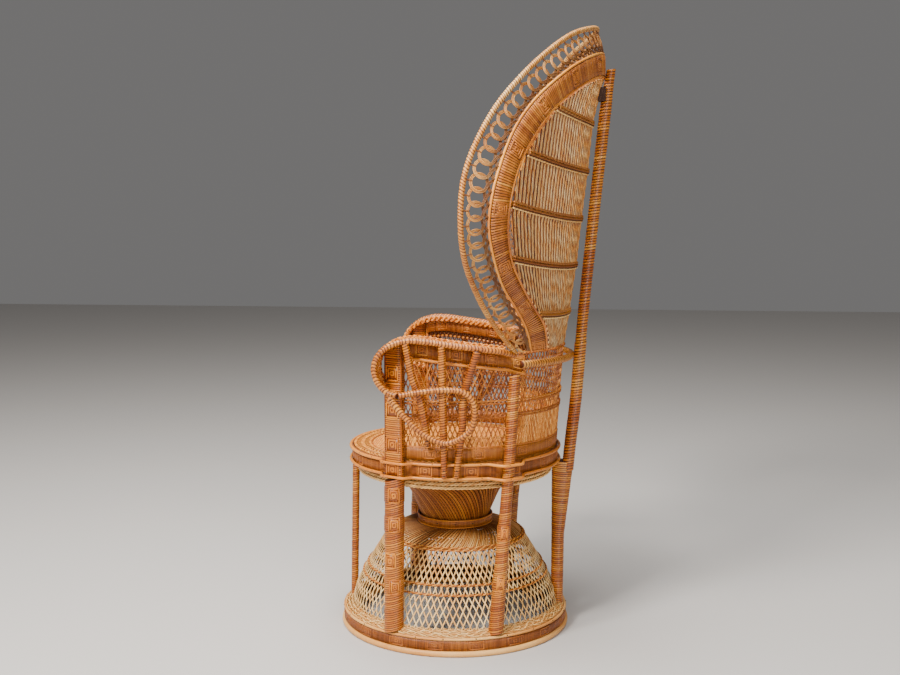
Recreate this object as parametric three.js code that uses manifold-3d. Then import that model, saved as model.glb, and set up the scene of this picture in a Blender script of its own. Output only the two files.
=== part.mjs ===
// A woven rattan armchair with a tall fan back on a drum base, in millimetres, +Z up.
// The sitter faces -Y and the sitter's left is +X. The floor is at zero height, and the
// origin lies under the middle of the chair's whole box.

import * as THREE from 'three';
import { mergeVertices } from 'three/addons/utils/BufferGeometryUtils.js';
import Module from 'manifold-3d';

const wasm = await Module();
wasm.setup();

// Fits and facets

const gap = 0.3; // between pieces that touch
const ringFacets = 24;
const poleSides = 6;
const caneSides = 5;
const circle = 2 * Math.PI;

// Driving sizes

const base = {
  hoopOffset: 23.5, // from the seat band out to the middle of the floor hoop
  hoopThickness: 15,
  bandHeight: 25,
  bandThickness: 3,
  caneThickness: 7,
  braidWidth: 26,
  braidHeight: 24,
  braidRise: 10.4, // above the cane
};

const skirt = {
  height: 207,
  thickness: 4,
  rowWidth: 9,
  rowThickness: 4,
};

// radius as a share of the radius at the foot, height as a share of the skirt's height
const skirtShares = [
  [1, 0], [0.957, 0.21], [0.856, 0.453], [0.751, 0.681], [0.655, 0.86], [0.483, 0.978],
  [0.372, 1],
];
const skirtRows = [['low', 0.377], ['middle', 0.478], ['high', 0.85]];
// the lattice is cut as a plain grid; each row of openings runs between two height shares
const skirtOpeningRows = [[0.07, 0.33], [0.53, 0.64], [0.69, 0.8]];
const skirtOpeningShare = 0.72; // of one facet's width

const waist = {
  coneRadius: 74,
  bandRadius: 97.2,
  bandHeight: 22,
  bandThickness: 3,
  hoopHeight: 12,
};

const cone = { height: 146, thickness: 4 };
const coneShares = [ // between the waist and the seat braid, and up the cone
  [0, 0], [0.015, 0.11], [0.13, 0.27], [0.348, 0.65], [0.54, 0.82], [0.76, 0.94], [1, 1],
];

const seat = {
  bandRadius: 267.5,
  bandHeight: 42,
  bandThickness: 2.8,
  caneThickness: 7.5,
  hoopWidth: 28,
  hoopHeight: 38,
  braidWidth: 22,
  braidHeight: 23,
  braidInset: 12,
  deckThickness: 6,
  battenWidth: 24,
  battenHeight: 22,
  battenSpacing: 190,
};

const armLeg = { thickness: 48, footAngle: -27.2, topAngle: -26.4, footLift: 2 };
const armPost = { width: 45, thickness: 20, angle: -26.2 };
// offsets of legs and posts run outward from the seat band
const thinLeg = { thickness: 19.5, footOffset: 2.5, topOffset: -5.1 };
const rearLeg = { thickness: 31, footOffset: 2.5, topOffset: 0.9 };
const rearPost = {
  footThickness: 37,
  topThickness: 27,
  footOffset: 11.5,
  footAngle: 26.6,
  seatAngle: 33.2,
  topOffset: 17,
  topAngle: 36,
};

const wall = {
  inset: 5.5, // from the seat band's outside to the weave's
  thickness: 4,
  frontAngle: -23.5,
  height: 265, // above the deck, at the back
  lean: 20, // how far the back of the wall's top leans out
  bandThickness: 3,
  lowerBandRise: 4,
  lowerBandHeight: 32,
  columns: 24, // from one front edge round to the other
  outerBandColumns: 7,
  innerBandColumns: 6,
};

const arm = {
  poleThickness: 15,
  poleOffset: 32.5, // from the seat band out to the pole
  loopOffset: 10, // the loop stands further out than the pole
  loopEndOffset: 16,
  sheetThickness: 5,
  sheetClearance: 2.4, // between the wall's top edge and the sheet
  sheetInset: 8, // from the wall's outside in to the sheet's inner edge
  braidThickness: 16,
  outerBandHeight: 39,
  innerBandHeight: 30,
  caneThickness: 8,
  strutThickness: 18,
  strutTipThickness: 10,
  reachShare: 1.241, // from the fan's foot to the front of the curl, of the seat band's radius
  heightShare: 0.4943, // from the curl's end up to the pole's crown, of the wall's height
  crownShare: 0.125, // the crown above the wall's top, of the wall's height
};

// the pole's line from the fan's foot on: across, then forward of the foot, then down
// from the crown
const armPoleShares = [
  [0.907, 0.084, 0.206], [0.973, 0.233, 0.143], [1, 0.482, 0.06], [1, 0.666, 0],
  [1, 0.79, 0.008], [1, 0.911, 0.126], [1, 0.978, 0.312], [1, 1, 0.53],
  [1, 0.973, 0.767], [1, 0.902, 0.947], [1, 0.83, 1],
];
// the loop goes on from there; its first column runs from the pole out to the loop's end
const armLoopShares = [
  [0.45, 0.666, 0.916], [0.5, 0.5, 0.87], [0.5, 0.359, 0.9], [0.5, 0.287, 1.06],
  [0.5, 0.273, 1.298], [0.5, 0.301, 1.572], [0.5, 0.387, 1.76], [0.55, 0.48, 1.84],
  [0.65, 0.573, 1.771], [0.8, 0.681, 1.595], [1, 0.774, 1.359], [1, 0.846, 1.141],
  [1, 0.882, 1.03],
];
// the three struts, from the pole down: across, along Y, down
const strutShares = [
  [[0.993, 0.776, 0.05], [0.973, 0.723, 0.718], [0.955, 0.672, 1.084], [0.925, 0.63, 1.687],
    [0.907, 0.62, 1.985]],
  [[0.993, 0.514, 0.088], [0.965, 0.507, 1.32], [0.94, 0.5, 2.53]],
  [[0.993, 0.257, 0.175], [0.97, 0.307, 0.534], [0.955, 0.342, 0.809], [0.948, 0.363, 1.122],
    [0.94, 0.37, 1.6], [0.933, 0.39, 1.97], [0.928, 0.415, 2.53]],
];

const belt = { thickness: 18, drop: 31, endAngle: 40 };

const fan = {
  halfWidth: 520,
  height: 782,
  depth: 295, // from the widest place back to the crown
  footRise: 2.1, // above the wall's top
  frontInset: 199, // from the wall's back forward to the fan's widest place
  stations: 44, // along the whole rim, an even number
  poleThickness: 15,
  caneThickness: 8,
  fit: 0.6, // between the ribbons and the poles beside them
  laceThickness: 6,
  bandThickness: 8,
  weaveThickness: 4,
  weaveColumns: 6,
  weaveCurve: 1.4, // the power by which the weave deepens from its middle to its edges
};

// across, back and up, as shares of the fan's half width, depth and height
const rimShares = [
  [0.471, 0.356, 0], [0.55, 0.275, 0.049], [0.646, 0.197, 0.101], [0.777, 0.112, 0.175],
  [0.933, 0.024, 0.289], [0.998, 0, 0.394], [0.977, 0.027, 0.535], [0.873, 0.197, 0.696],
  [0.704, 0.444, 0.827], [0.413, 0.756, 0.948], [0.2, 0.93, 0.988], [0, 0.99, 1],
];
const bandOuterShares = [
  [0.394, 0.478, 0.003], [0.471, 0.464, 0.049], [0.558, 0.431, 0.097], [0.665, 0.37, 0.152],
  [0.779, 0.288, 0.216], [0.881, 0.231, 0.297], [0.942, 0.2, 0.387], [0.948, 0.22, 0.47],
  [0.912, 0.275, 0.558], [0.837, 0.363, 0.655], [0.723, 0.502, 0.743], [0.519, 0.76, 0.844],
  [0.25, 0.97, 0.905], [0, 1.05, 0.922],
];
const bandInnerShares = [
  [0.317, 0.6, 0], [0.4, 0.6, 0.049], [0.485, 0.58, 0.093], [0.602, 0.498, 0.155],
  [0.731, 0.42, 0.223], [0.833, 0.353, 0.298], [0.888, 0.332, 0.387], [0.892, 0.349, 0.458],
  [0.852, 0.403, 0.55], [0.767, 0.505, 0.638], [0.606, 0.671, 0.734], [0.404, 0.864, 0.804],
  [0.208, 1, 0.84], [0, 1.055, 0.849],
];
// the middle of the weave: back and up
const spineLineShares = [
  [0.739, 0], [0.78, 0.105], [0.834, 0.254], [0.875, 0.405], [0.922, 0.556], [0.96, 0.707],
  [1.04, 0.842],
];
const rowSagShare = 0.13; // how far a row sags, of its extra half width over the foot's
// the weave is cut as a plain grid: openings side by side between each two twined rows,
// from the second row up
const backOpenings = { columns: 12, widthShare: 0.55, reachShare: 0.95, rowMarginShare: 0.012 };

const spine = {
  thickness: 30,
  tipThickness: 22,
  footRise: 148, // above the base braid
  tipDrop: 96, // below the fan's crown
  footOffset: 18, // from the wall's back to its foot's middle
  lean: 112, // Y from foot to tip
  blockWidth: 40,
  blockHeight: 34,
  blockDepth: 20,
  blockDrop: 62, // below the spine's tip
};
const spineShares = [
  [0, 0], [0.045, 0.064], [0.17, 0.208], [0.295, 0.315], [0.438, 0.491], [0.58, 0.633],
  [0.76, 0.804], [0.93, 0.955], [1, 1],
];

// Heights and radii that follow

const hoopRadius = seat.bandRadius + base.hoopOffset;
const wallRadius = seat.bandRadius - wall.inset;
const sheetInnerRadius = wallRadius - arm.sheetInset;
const armAcross = seat.bandRadius + arm.poleOffset;
const armReach = seat.bandRadius * arm.reachShare;
const fanFront = wallRadius - fan.frontInset;
const spineFootPlace = wallRadius + spine.footOffset;
const bandBottom = base.hoopThickness + gap;
const topCaneBottom = bandBottom + base.bandHeight + gap;
const baseBraidTop = topCaneBottom + base.caneThickness + base.braidRise;
const baseBraidOuter = hoopRadius - cornerRadius(base.caneThickness) - gap;
const baseBraidInner = baseBraidOuter - base.braidWidth;
const skirtFootHeight = baseBraidTop + gap;
const skirtFootRadius = baseBraidInner + skirt.thickness * 2;
const waistHeight = skirtFootHeight + skirt.height + gap;
const coneTop = waistHeight + cone.height;
const seatBraidOuter = seat.bandRadius - seat.bandThickness - seat.braidInset;
const seatBraidInner = seatBraidOuter - seat.braidWidth;
const seatHoopBottom = coneTop + seat.braidHeight - cone.thickness;
const seatHoopOuter = seat.bandRadius - seat.bandThickness - gap;
const seatHoopInner = seatHoopOuter - seat.hoopWidth;
const seatBandBottom = seatHoopBottom + (seat.hoopHeight + seat.deckThickness - seat.bandHeight);
const deckBottom = seatHoopBottom + seat.hoopHeight + gap;
const deckTop = deckBottom + seat.deckThickness;
const legTop = seatHoopBottom - gap;
const armPostRadius = seat.bandRadius + gap + armPost.thickness / 2;
const wallTop = deckTop + wall.height;
const wallBandOuter = gap + wall.bandThickness;
const armHeight = wall.height * arm.heightShare;
const armCrown = wallTop + wall.height * arm.crownShare;
const armPoleRadius = arm.poleThickness / 2;
const fanCane = fan.caneThickness / 2;
const fanFoot = wallTop + fan.footRise;
const rimFoot = new THREE.Vector3(
  fan.halfWidth * rimShares[0][0], fanFront + fan.depth * rimShares[0][1], fanFoot,
);
const spineFoot = baseBraidTop + spine.footRise;
const spineHeight = fanFoot + fan.height - spine.tipDrop - spineFoot;

// Small geometry helpers

function radians(degrees) {
  return THREE.MathUtils.degToRad(degrees);
}

function polar(radius, degrees, height) {
  const turn = radians(degrees);
  return new THREE.Vector3(radius * Math.cos(turn), radius * Math.sin(turn), height);
}

// An angle from 0 to 360 degrees as it is on the left half, from -90 to 90
function foldedAngle(degrees) {
  if (degrees >= 270) return degrees - 360;
  return degrees > 90 ? 180 - degrees : degrees;
}

// Linear reading of a table of [place, value] pairs in rising places
function readTable(table, place) {
  const last = table.length - 1;
  if (place <= table[0][0]) return table[0][1];
  if (place >= table[last][0]) return table[last][1];
  const next = table.findIndex(([at]) => at > place);
  const [fromPlace, fromValue] = table[next - 1];
  const [toPlace, toValue] = table[next];
  return fromValue + (toValue - fromValue) * (place - fromPlace) / (toPlace - fromPlace);
}

function signedVolume(positions, triangles) {
  const corner = [new THREE.Vector3(), new THREE.Vector3(), new THREE.Vector3()];
  let total = 0;
  for (let i = 0; i < triangles.length; i += 3) {
    corner.forEach((point, k) => point.fromArray(positions, triangles[i + k] * 3));
    total += corner[0].dot(corner[1].cross(corner[2]));
  }
  return total;
}

// One closed body with its faces turned out
function body(positions, triangles) {
  if (signedVolume(positions, triangles) < 0) {
    for (let i = 0; i < triangles.length; i += 3) {
      [triangles[i], triangles[i + 1]] = [triangles[i + 1], triangles[i]];
    }
  }
  const geometry = new THREE.BufferGeometry();
  geometry.setAttribute('position', new THREE.Float32BufferAttribute(positions, 3));
  geometry.setIndex(triangles);
  return geometry;
}

// Joins sections of equal point counts into one skin; sections are arrays of Vector3
function loft(sections, { closed = false } = {}) {
  const count = sections[0].length;
  const positions = sections.flatMap((section) => section.flatMap((point) => point.toArray()));
  const triangles = [];
  const spans = closed ? sections.length : sections.length - 1;
  for (let i = 0; i < spans; i += 1) {
    const here = i * count;
    const there = ((i + 1) % sections.length) * count;
    for (let k = 0; k < count; k += 1) {
      const next = (k + 1) % count;
      triangles.push(here + k, there + k, there + next, here + k, there + next, here + next);
    }
  }
  if (!closed) {
    const end = (sections.length - 1) * count;
    for (let k = 1; k < count - 1; k += 1) {
      triangles.push(0, k, k + 1, end, end + k + 1, end + k);
    }
  }
  return body(positions, triangles);
}

// A round section that runs along a curve; radiusAt takes the share of the way
function tube(curve, steps, radiusAt, sides, closed = false) {
  const frames = curve.computeFrenetFrames(steps, closed);
  const sections = [];
  for (let i = 0; i < (closed ? steps : steps + 1); i += 1) {
    const middle = curve.getPointAt(i / steps);
    const radius = radiusAt(i / steps);
    sections.push(Array.from({ length: sides }, (_, k) => {
      const turn = circle * k / sides;
      return middle.clone()
        .addScaledVector(frames.normals[i], radius * Math.cos(turn))
        .addScaledVector(frames.binormals[i], radius * Math.sin(turn));
    }));
  }
  return loft(sections, { closed });
}

// A ring turned about the chair's upright axis from a closed outline of [radius, height]
function ring(outline) {
  const points = [...outline, outline[0]].map(([radius, height]) => new THREE.Vector2(radius, height));
  const turned = new THREE.LatheGeometry(points, ringFacets).rotateX(Math.PI / 2);
  const merged = bare(turned);
  return body([...merged.attributes.position.array], [...merged.index.array]);
}

function bare(geometry) {
  const copy = geometry.clone();
  copy.deleteAttribute('normal');
  copy.deleteAttribute('uv');
  return mergeVertices(copy);
}

function boxOutline(inner, outer, low, high) {
  return [[inner, low], [outer, low], [outer, high], [inner, high]];
}

// From the middle of a many-sided round to its corners
function cornerRadius(thickness) {
  return thickness / 2 / Math.cos(Math.PI / poleSides);
}

// A many-sided round outline with a flat below and above
function roundOutline(radius, height, thickness) {
  const corner = cornerRadius(thickness);
  return Array.from({ length: poleSides }, (_, k) => {
    const turn = circle / 4 + circle * (k + 0.5) / poleSides;
    return [radius + corner * Math.cos(turn), height + corner * Math.sin(turn)];
  });
}

// The outline grown by the gap, for cutting what leans on it
function grown(outline) {
  const count = outline.length;
  const turnSum = outline.reduce((sum, [x, y], i) => {
    const [nextX, nextY] = outline[(i + 1) % count];
    return sum + x * nextY - nextX * y;
  }, 0);
  const side = Math.sign(turnSum);
  return outline.map((point, i) => {
    const before = edgeNormal(outline[(i + count - 1) % count], point, side);
    const after = edgeNormal(point, outline[(i + 1) % count], side);
    const spread = 1 + before[0] * after[0] + before[1] * after[1];
    return point.map((value, axis) => value + gap * (before[axis] + after[axis]) / spread);
  });
}

function edgeNormal([fromX, fromY], [toX, toY], side) {
  const length = Math.hypot(toX - fromX, toY - fromY);
  return [side * (toY - fromY) / length, -side * (toX - fromX) / length];
}

// A thin shell's outline: the outer line, and back along a line one thickness inside it
function shellOutline(outer, thickness, footNormal, headNormal) {
  const last = outer.length - 1;
  const inner = outer.map((point, i) => {
    if (i === 0) return point.map((value, axis) => value + thickness * footNormal[axis]);
    if (i === last) return point.map((value, axis) => value + thickness * headNormal[axis]);
    const before = edgeNormal(outer[i - 1], point, -1);
    const after = edgeNormal(point, outer[i + 1], -1);
    const spread = 1 + before[0] * after[0] + before[1] * after[1];
    return point.map((value, axis) => value + thickness * (before[axis] + after[axis]) / spread);
  });
  return [...outer, ...inner.reverse()];
}

function toManifold(geometry) {
  const merged = bare(geometry);
  return new wasm.Manifold(new wasm.Mesh({
    numProp: 3,
    vertProperties: merged.attributes.position.array,
    triVerts: new Uint32Array(merged.index.array),
  }));
}

function cut(geometry, ...tools) {
  const solid = tools.reduce((left, tool) => left.subtract(toManifold(tool)), toManifold(geometry));
  const mesh = solid.getMesh();
  return body([...mesh.vertProperties], [...mesh.triVerts]);
}

function mirrored(geometry) {
  const copy = bare(geometry).scale(-1, 1, 1);
  return body([...copy.attributes.position.array], [...copy.index.array]);
}

function catmull(points) {
  return new THREE.CatmullRomCurve3(points, false, 'centripetal');
}

// Finishes

const finishes = {
  wrap: { color: 0xb5713a, roughness: 0.5, metalness: 0 },
  cane: { color: 0xd9ae74, roughness: 0.5, metalness: 0 },
  weave: { color: 0xc08a50, roughness: 0.6, metalness: 0 },
  band: { color: 0xa9692f, roughness: 0.55, metalness: 0 },
  timber: { color: 0x5a3a22, roughness: 0.7, metalness: 0 },
};

const chair = new THREE.Group();

function add(name, geometry, finish) {
  const mesh = new THREE.Mesh(geometry, new THREE.MeshStandardMaterial(finishes[finish]));
  mesh.name = name;
  chair.add(mesh);
}

function addPair(name, geometry, finish) {
  add(`${name}_left`, geometry, finish);
  add(`${name}_right`, mirrored(geometry), finish);
}

// Base: floor hoop, band, cane and the braid that carries the legs

const baseBraidOutline = (() => {
  const low = baseBraidTop - base.braidHeight;
  const shoulderShare = 0.62;
  const heelShare = 0.58;
  const ledge = skirtFootRadius + gap;
  return [
    [baseBraidInner + base.braidWidth * heelShare, low],
    [baseBraidOuter, low],
    [baseBraidOuter, low + base.braidHeight * shoulderShare],
    [ledge, baseBraidTop],
    [baseBraidInner, baseBraidTop],
    [baseBraidInner, low + base.braidHeight / 2],
  ];
})();
const baseCaneOutline = roundOutline(
  hoopRadius, topCaneBottom + base.caneThickness / 2, base.caneThickness,
);

function buildBase() {
  const hoopOutline = roundOutline(hoopRadius, base.hoopThickness / 2, base.hoopThickness);
  add('floor_hoop', ring(hoopOutline), 'cane');
  const outer = hoopRadius + base.bandThickness / 2;
  const band = boxOutline(outer - base.bandThickness, outer, bandBottom, bandBottom + base.bandHeight);
  add('base_band', ring(band), 'band');
  add('base_top_cane', ring(baseCaneOutline), 'cane');
  add('base_braid', ring(baseBraidOutline), 'cane');
}

// Skirt: a bell of lattice with three rows of twining round it

const skirtLine = [
  ...skirtShares.map(([radiusShare, heightShare]) => [
    skirtFootRadius * radiusShare, skirtFootHeight + skirt.height * heightShare,
  ]),
  [waist.coneRadius - cone.thickness, skirtFootHeight + skirt.height],
];
const skirtOutline = shellOutline(skirtLine, skirt.thickness, [-1, 0], [0, -1]);

function skirtRowOutline(heightShare) {
  const height = skirtFootHeight + skirt.height * heightShare;
  const at = skirtLine.findIndex(([, high]) => high > height);
  const [fromRadius, fromHeight] = skirtLine[at - 1];
  const [toRadius, toHeight] = skirtLine[at];
  const share = (height - fromHeight) / (toHeight - fromHeight);
  const radius = fromRadius + (toRadius - fromRadius) * share;
  const [outX, outY] = edgeNormal(skirtLine[at - 1], skirtLine[at], 1);
  const half = skirt.rowWidth / 2;
  const corner = (along, out) => [
    radius - outY * along + outX * out, height + outX * along + outY * out,
  ];
  const far = gap + skirt.rowThickness;
  return [corner(-half, gap), corner(-half, far), corner(half, far), corner(half, gap)];
}

function skirtRadiusAt(height) {
  return readTable(skirtLine.map(([radius, level]) => [level, radius]), height);
}

// One opening for each facet and each row between the twined rows
function skirtOpenings() {
  return skirtOpeningRows.flatMap(([lowShare, highShare]) => {
    const low = skirtFootHeight + skirt.height * lowShare;
    const high = skirtFootHeight + skirt.height * highShare;
    const [outer, inner] = [skirtRadiusAt(low), skirtRadiusAt(high)];
    const width = outer * circle / ringFacets * skirtOpeningShare;
    const reach = outer - inner + skirt.thickness * 6;
    return Array.from({ length: ringFacets }, (_, k) => (
      bare(new THREE.BoxGeometry(reach, width, high - low)
        .translate((outer + inner) / 2, 0, (low + high) / 2)
        .rotateZ(circle * (k + 0.5) / ringFacets))
    ));
  });
}

function buildSkirt() {
  add('skirt_weave', cut(ring(skirtOutline), ...skirtOpenings()), 'cane');
  skirtRows.forEach(([place, share]) => {
    add(`skirt_row_${place}`, ring(skirtRowOutline(share)), 'cane');
  });
}

// Waist and the flaring cone of strands

function buildWaist() {
  const hoopInner = waist.coneRadius + gap + coneShares[1][0] * (seatBraidInner - waist.coneRadius);
  const hoopOuter = waist.bandRadius - waist.bandThickness - gap;
  add('waist_hoop', ring(boxOutline(hoopInner, hoopOuter, waistHeight, waistHeight + waist.hoopHeight)),
    'timber');
  add('waist_band', ring(boxOutline(waist.bandRadius - waist.bandThickness, waist.bandRadius,
    waistHeight, waistHeight + waist.bandHeight)), 'band');
  const reach = seatBraidInner - gap - waist.coneRadius;
  const coneLine = coneShares.map(([outShare, upShare]) => [
    waist.coneRadius + reach * outShare, waistHeight + cone.height * upShare,
  ]);
  add('cone_weave', ring(shellOutline(coneLine, cone.thickness, [-1, 0], [0, 1])), 'weave');
}

// Seat: braid, hoop, deck on two battens, band and its two canes

const seatBraidOutline = boxOutline(
  seatBraidInner, seatBraidOuter, legTop - seat.braidHeight, legTop,
);

const seatCaneSteps = ringFacets * 2;

// The canes run round the band and bulge over the four posts; a cane's facets sag inward,
// so it stands off the band by that much more
function seatCaneCurve(height) {
  const sag = seat.bandRadius * (1 - Math.cos(circle / 2 / seatCaneSteps));
  const near = seat.bandRadius + sag + gap + seat.caneThickness / 2;
  const bulges = [
    [armPost.angle, armPost.thickness + gap * 4, armPost.width / 2],
    [rearPost.seatAngle, rearPostThicknessAt(height) + gap * 3, rearPostThicknessAt(height) / 2],
  ];
  const points = [];
  const count = ringFacets * 6;
  for (let i = 0; i < count; i += 1) {
    const degrees = 360 * i / count;
    points.push(polar(near + bulgeAt(foldedAngle(degrees), bulges, near), degrees, height));
  }
  return new THREE.CatmullRomCurve3(points, true);
}

function bulgeAt(angle, bulges, radius) {
  return bulges.reduce((most, [middle, depth, halfWidth]) => {
    const away = Math.abs(radians(angle - middle)) * radius - halfWidth;
    const fade = THREE.MathUtils.smoothstep(away, depth / 4, depth * 2);
    return Math.max(most, depth * (1 - fade));
  }, 0);
}

const bottomCaneHeight = seatBandBottom + seat.caneThickness / 2;
const topCaneHeight = seatBandBottom + seat.bandHeight - seat.caneThickness / 2;

function seatCaneTube(height, extra) {
  const radius = seat.caneThickness / 2 + extra;
  return tube(seatCaneCurve(height), seatCaneSteps, () => radius, caneSides, true);
}

function seatCane(height) {
  const cane = seatCaneTube(height, 0);
  const posts = [bare(armPostSolid(gap * 2)), rearPostSolid(gap * 2)];
  return cut(cane, ...posts, ...posts.map(mirrored));
}

function buildSeat() {
  add('seat_braid', ring(seatBraidOutline), 'cane');
  const hoopTop = seatHoopBottom + seat.hoopHeight;
  add('seat_hoop', ring(boxOutline(seatHoopInner, seatHoopOuter, seatHoopBottom, hoopTop)), 'timber');
  add('seat_band', ring(boxOutline(seat.bandRadius - seat.bandThickness, seat.bandRadius,
    seatBandBottom, seatBandBottom + seat.bandHeight)), 'band');
  add('seat_bottom_cane', seatCane(bottomCaneHeight), 'cane');
  add('seat_top_cane', seatCane(topCaneHeight), 'cane');
  const deck = new THREE.CylinderGeometry(
    seatHoopOuter, seatHoopOuter, seat.deckThickness, ringFacets,
  ).rotateX(Math.PI / 2).translate(0, 0, deckBottom + seat.deckThickness / 2);
  add('seat_deck', bare(deck), 'cane');
  addPair('seat_batten', batten(hoopTop), 'timber');
}

// A batten spans the hoop from front to back, its ends cut round
function batten(hoopTop) {
  const room = new THREE.CylinderGeometry(
    seatHoopInner - gap, seatHoopInner - gap, seat.hoopHeight * 2, ringFacets,
  ).rotateX(Math.PI / 2).translate(0, 0, hoopTop);
  const bar = new THREE.BoxGeometry(seat.battenWidth, seatHoopInner * 2, seat.battenHeight)
    .translate(seat.battenSpacing / 2, 0, hoopTop - seat.battenHeight / 2);
  const mesh = toManifold(bar).intersect(toManifold(room)).getMesh();
  return body([...mesh.vertProperties], [...mesh.triVerts]);
}

// Legs and posts

// The braid and the skirt as one filled outline, which the feet are cut to fit
const footingOutline = [
  [waist.coneRadius, baseBraidTop - base.braidHeight],
  ...baseBraidOutline.slice(1, 4),
  ...skirtLine,
];
const grownFoot = [grown(footingOutline), grown(baseCaneOutline)].map(ring);
const grownSeatBraid = ring(grown(seatBraidOutline));

function straightPost(foot, head, thickness, sides) {
  return tube(new THREE.LineCurve3(foot, head), 1, () => thickness / 2, sides);
}

function rearPostThicknessAt(height) {
  const share = (height - baseBraidTop) / (wallTop - baseBraidTop);
  return rearPost.footThickness + (rearPost.topThickness - rearPost.footThickness) * Math.min(share * 2, 1);
}

function buildLegs() {
  const footHeight = baseBraidTop - base.braidRise + armLeg.footLift;
  const standing = [...grownFoot, grownSeatBraid];
  const leg = straightPost(
    polar(armPostRadius, armLeg.footAngle, footHeight),
    polar(armPostRadius, armLeg.topAngle, legTop), armLeg.thickness, poleSides * 2,
  );
  addPair('arm_leg', cut(leg, ...standing), 'wrap');
  const front = straightPost(
    new THREE.Vector3(0, -(seat.bandRadius + thinLeg.footOffset), footHeight),
    new THREE.Vector3(0, -(seat.bandRadius + thinLeg.topOffset), legTop), thinLeg.thickness, poleSides,
  );
  add('front_leg', cut(front, ...standing), 'wrap');
  add('rear_leg', cut(rearLegSolid(rearLeg.thickness), ...standing), 'wrap');
}

function rearLegSolid(thickness) {
  const footHeight = baseBraidTop - base.braidRise + armLeg.footLift;
  return straightPost(
    new THREE.Vector3(0, seat.bandRadius + rearLeg.footOffset, footHeight),
    new THREE.Vector3(0, seat.bandRadius + rearLeg.topOffset, legTop), thickness, poleSides * 2,
  );
}

// The flat bundle that goes on up from the leg, past the seat band, to the arm
function armPostSolid(extra) {
  const low = legTop + gap;
  const high = armHeightAt(armPostPlace().y) - arm.sheetThickness / 2 - gap;
  const bar = new THREE.BoxGeometry(armPost.thickness + extra, armPost.width + extra, high - low);
  return bar.translate(armPostRadius, 0, (low + high) / 2).rotateZ(radians(armPost.angle));
}

function armPostPlace() {
  return polar(armPostRadius, armPost.angle, legTop);
}

function rearPostCurve() {
  const foot = baseBraidTop - base.braidRise + armLeg.footLift;
  const beside = seat.bandRadius + gap * 2 + rearPostThicknessAt(deckTop) / 2;
  const high = armBandBottom(rearPost.topAngle) - arm.caneThickness - gap * 2;
  return catmull([
    polar(seat.bandRadius + rearPost.footOffset, rearPost.footAngle, foot),
    polar(beside, rearPost.seatAngle, deckTop),
    polar(seat.bandRadius + rearPost.topOffset, rearPost.topAngle, high),
  ]);
}

function rearPostSolid(extra) {
  const curve = rearPostCurve();
  const span = curve.getPointAt(1).z - curve.getPointAt(0).z;
  const radiusAt = (share) => (rearPostThicknessAt(baseBraidTop + share * span) + extra) / 2;
  const postSteps = 6;
  return tube(curve, postSteps, radiusAt, poleSides + 2);
}

function buildPosts() {
  addPair('arm_post', bare(armPostSolid(0)), 'wrap');
  addPair('rear_post', cut(rearPostSolid(0), ...grownFoot, grownSeatBraid), 'wrap');
}

// Wall: an open half drum whose back leans out towards the fan

function leanAt(height) {
  return wall.lean * (height - deckTop) / wall.height;
}

// A place on the wall, so far outside the weave's outer face
function wallPoint(degrees, height, out) {
  const point = polar(wallRadius + out, degrees, height);
  const sine = Math.max(0, Math.sin(radians(degrees)));
  point.y += leanAt(height) * sine * sine;
  return point;
}

const wallColumn = (180 - 2 * wall.frontAngle) / wall.columns; // degrees

function wallAngle(column) {
  return wall.frontAngle + wallColumn * column;
}

// A curved sheet on the wall, some columns long; its edges are functions of the angle
function wallSheet({ columns, inner, outer, lowAt, highAt }) {
  return loft(Array.from({ length: columns + 1 }, (_, i) => {
    const degrees = wallAngle(i);
    const low = lowAt(degrees);
    const high = highAt(degrees);
    return [
      wallPoint(degrees, low, outer), wallPoint(degrees, high, outer),
      wallPoint(degrees, high, inner), wallPoint(degrees, low, inner),
    ];
  }));
}

function armUnder(degrees) {
  const place = polar(wallRadius, degrees, 0).y;
  const sheetHeight = armHeightAt(place) - arm.sheetThickness / 2 - arm.sheetClearance;
  return place > armSheetBackEnd ? wallTop - gap : sheetHeight;
}

function buildWall() {
  add('wall_weave', wallSheet({
    columns: wall.columns, inner: -wall.thickness, outer: 0,
    lowAt: () => deckTop + gap, highAt: (degrees) => armUnder(foldedAngle(degrees)),
  }), 'weave');
  const low = deckTop + wall.lowerBandRise;
  add('wall_lower_band', wallSheet({
    columns: wall.columns, inner: gap, outer: wallBandOuter,
    lowAt: () => low, highAt: () => low + wall.lowerBandHeight,
  }), 'band');
}

// Arms: pole, loop and three struts outside, a woven sheet, two bands and a braid

function armPoint(acrossShare, alongShare, downShare) {
  return new THREE.Vector3(
    armAcross * acrossShare,
    rimFoot.y - armReach * alongShare,
    armCrown - armHeight * downShare,
  );
}

// the pole starts under the rim's foot and is cut to fit it
const armPoleStart = rimFoot.clone().setZ(rimFoot.z - fan.poleThickness / 2);
const armPolePoints = [armPoleStart, ...armPoleShares.map((shares) => armPoint(...shares))];
const armHeights = armPolePoints.slice(0, 7).map((point) => [point.y, point.z]).reverse();
const armSheetBackEnd = armPolePoints[1].y;

function armHeightAt(place) {
  return readTable(armHeights, place);
}

function armBandBottom(degrees) {
  return armHeightAt(polar(wallRadius, degrees, 0).y) - arm.sheetThickness / 2
    - arm.sheetClearance - arm.outerBandHeight;
}

function armPoleSolid(extra) {
  const armPoleSteps = 20;
  return tube(catmull(armPolePoints), armPoleSteps, () => armPoleRadius + extra, poleSides);
}

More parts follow.
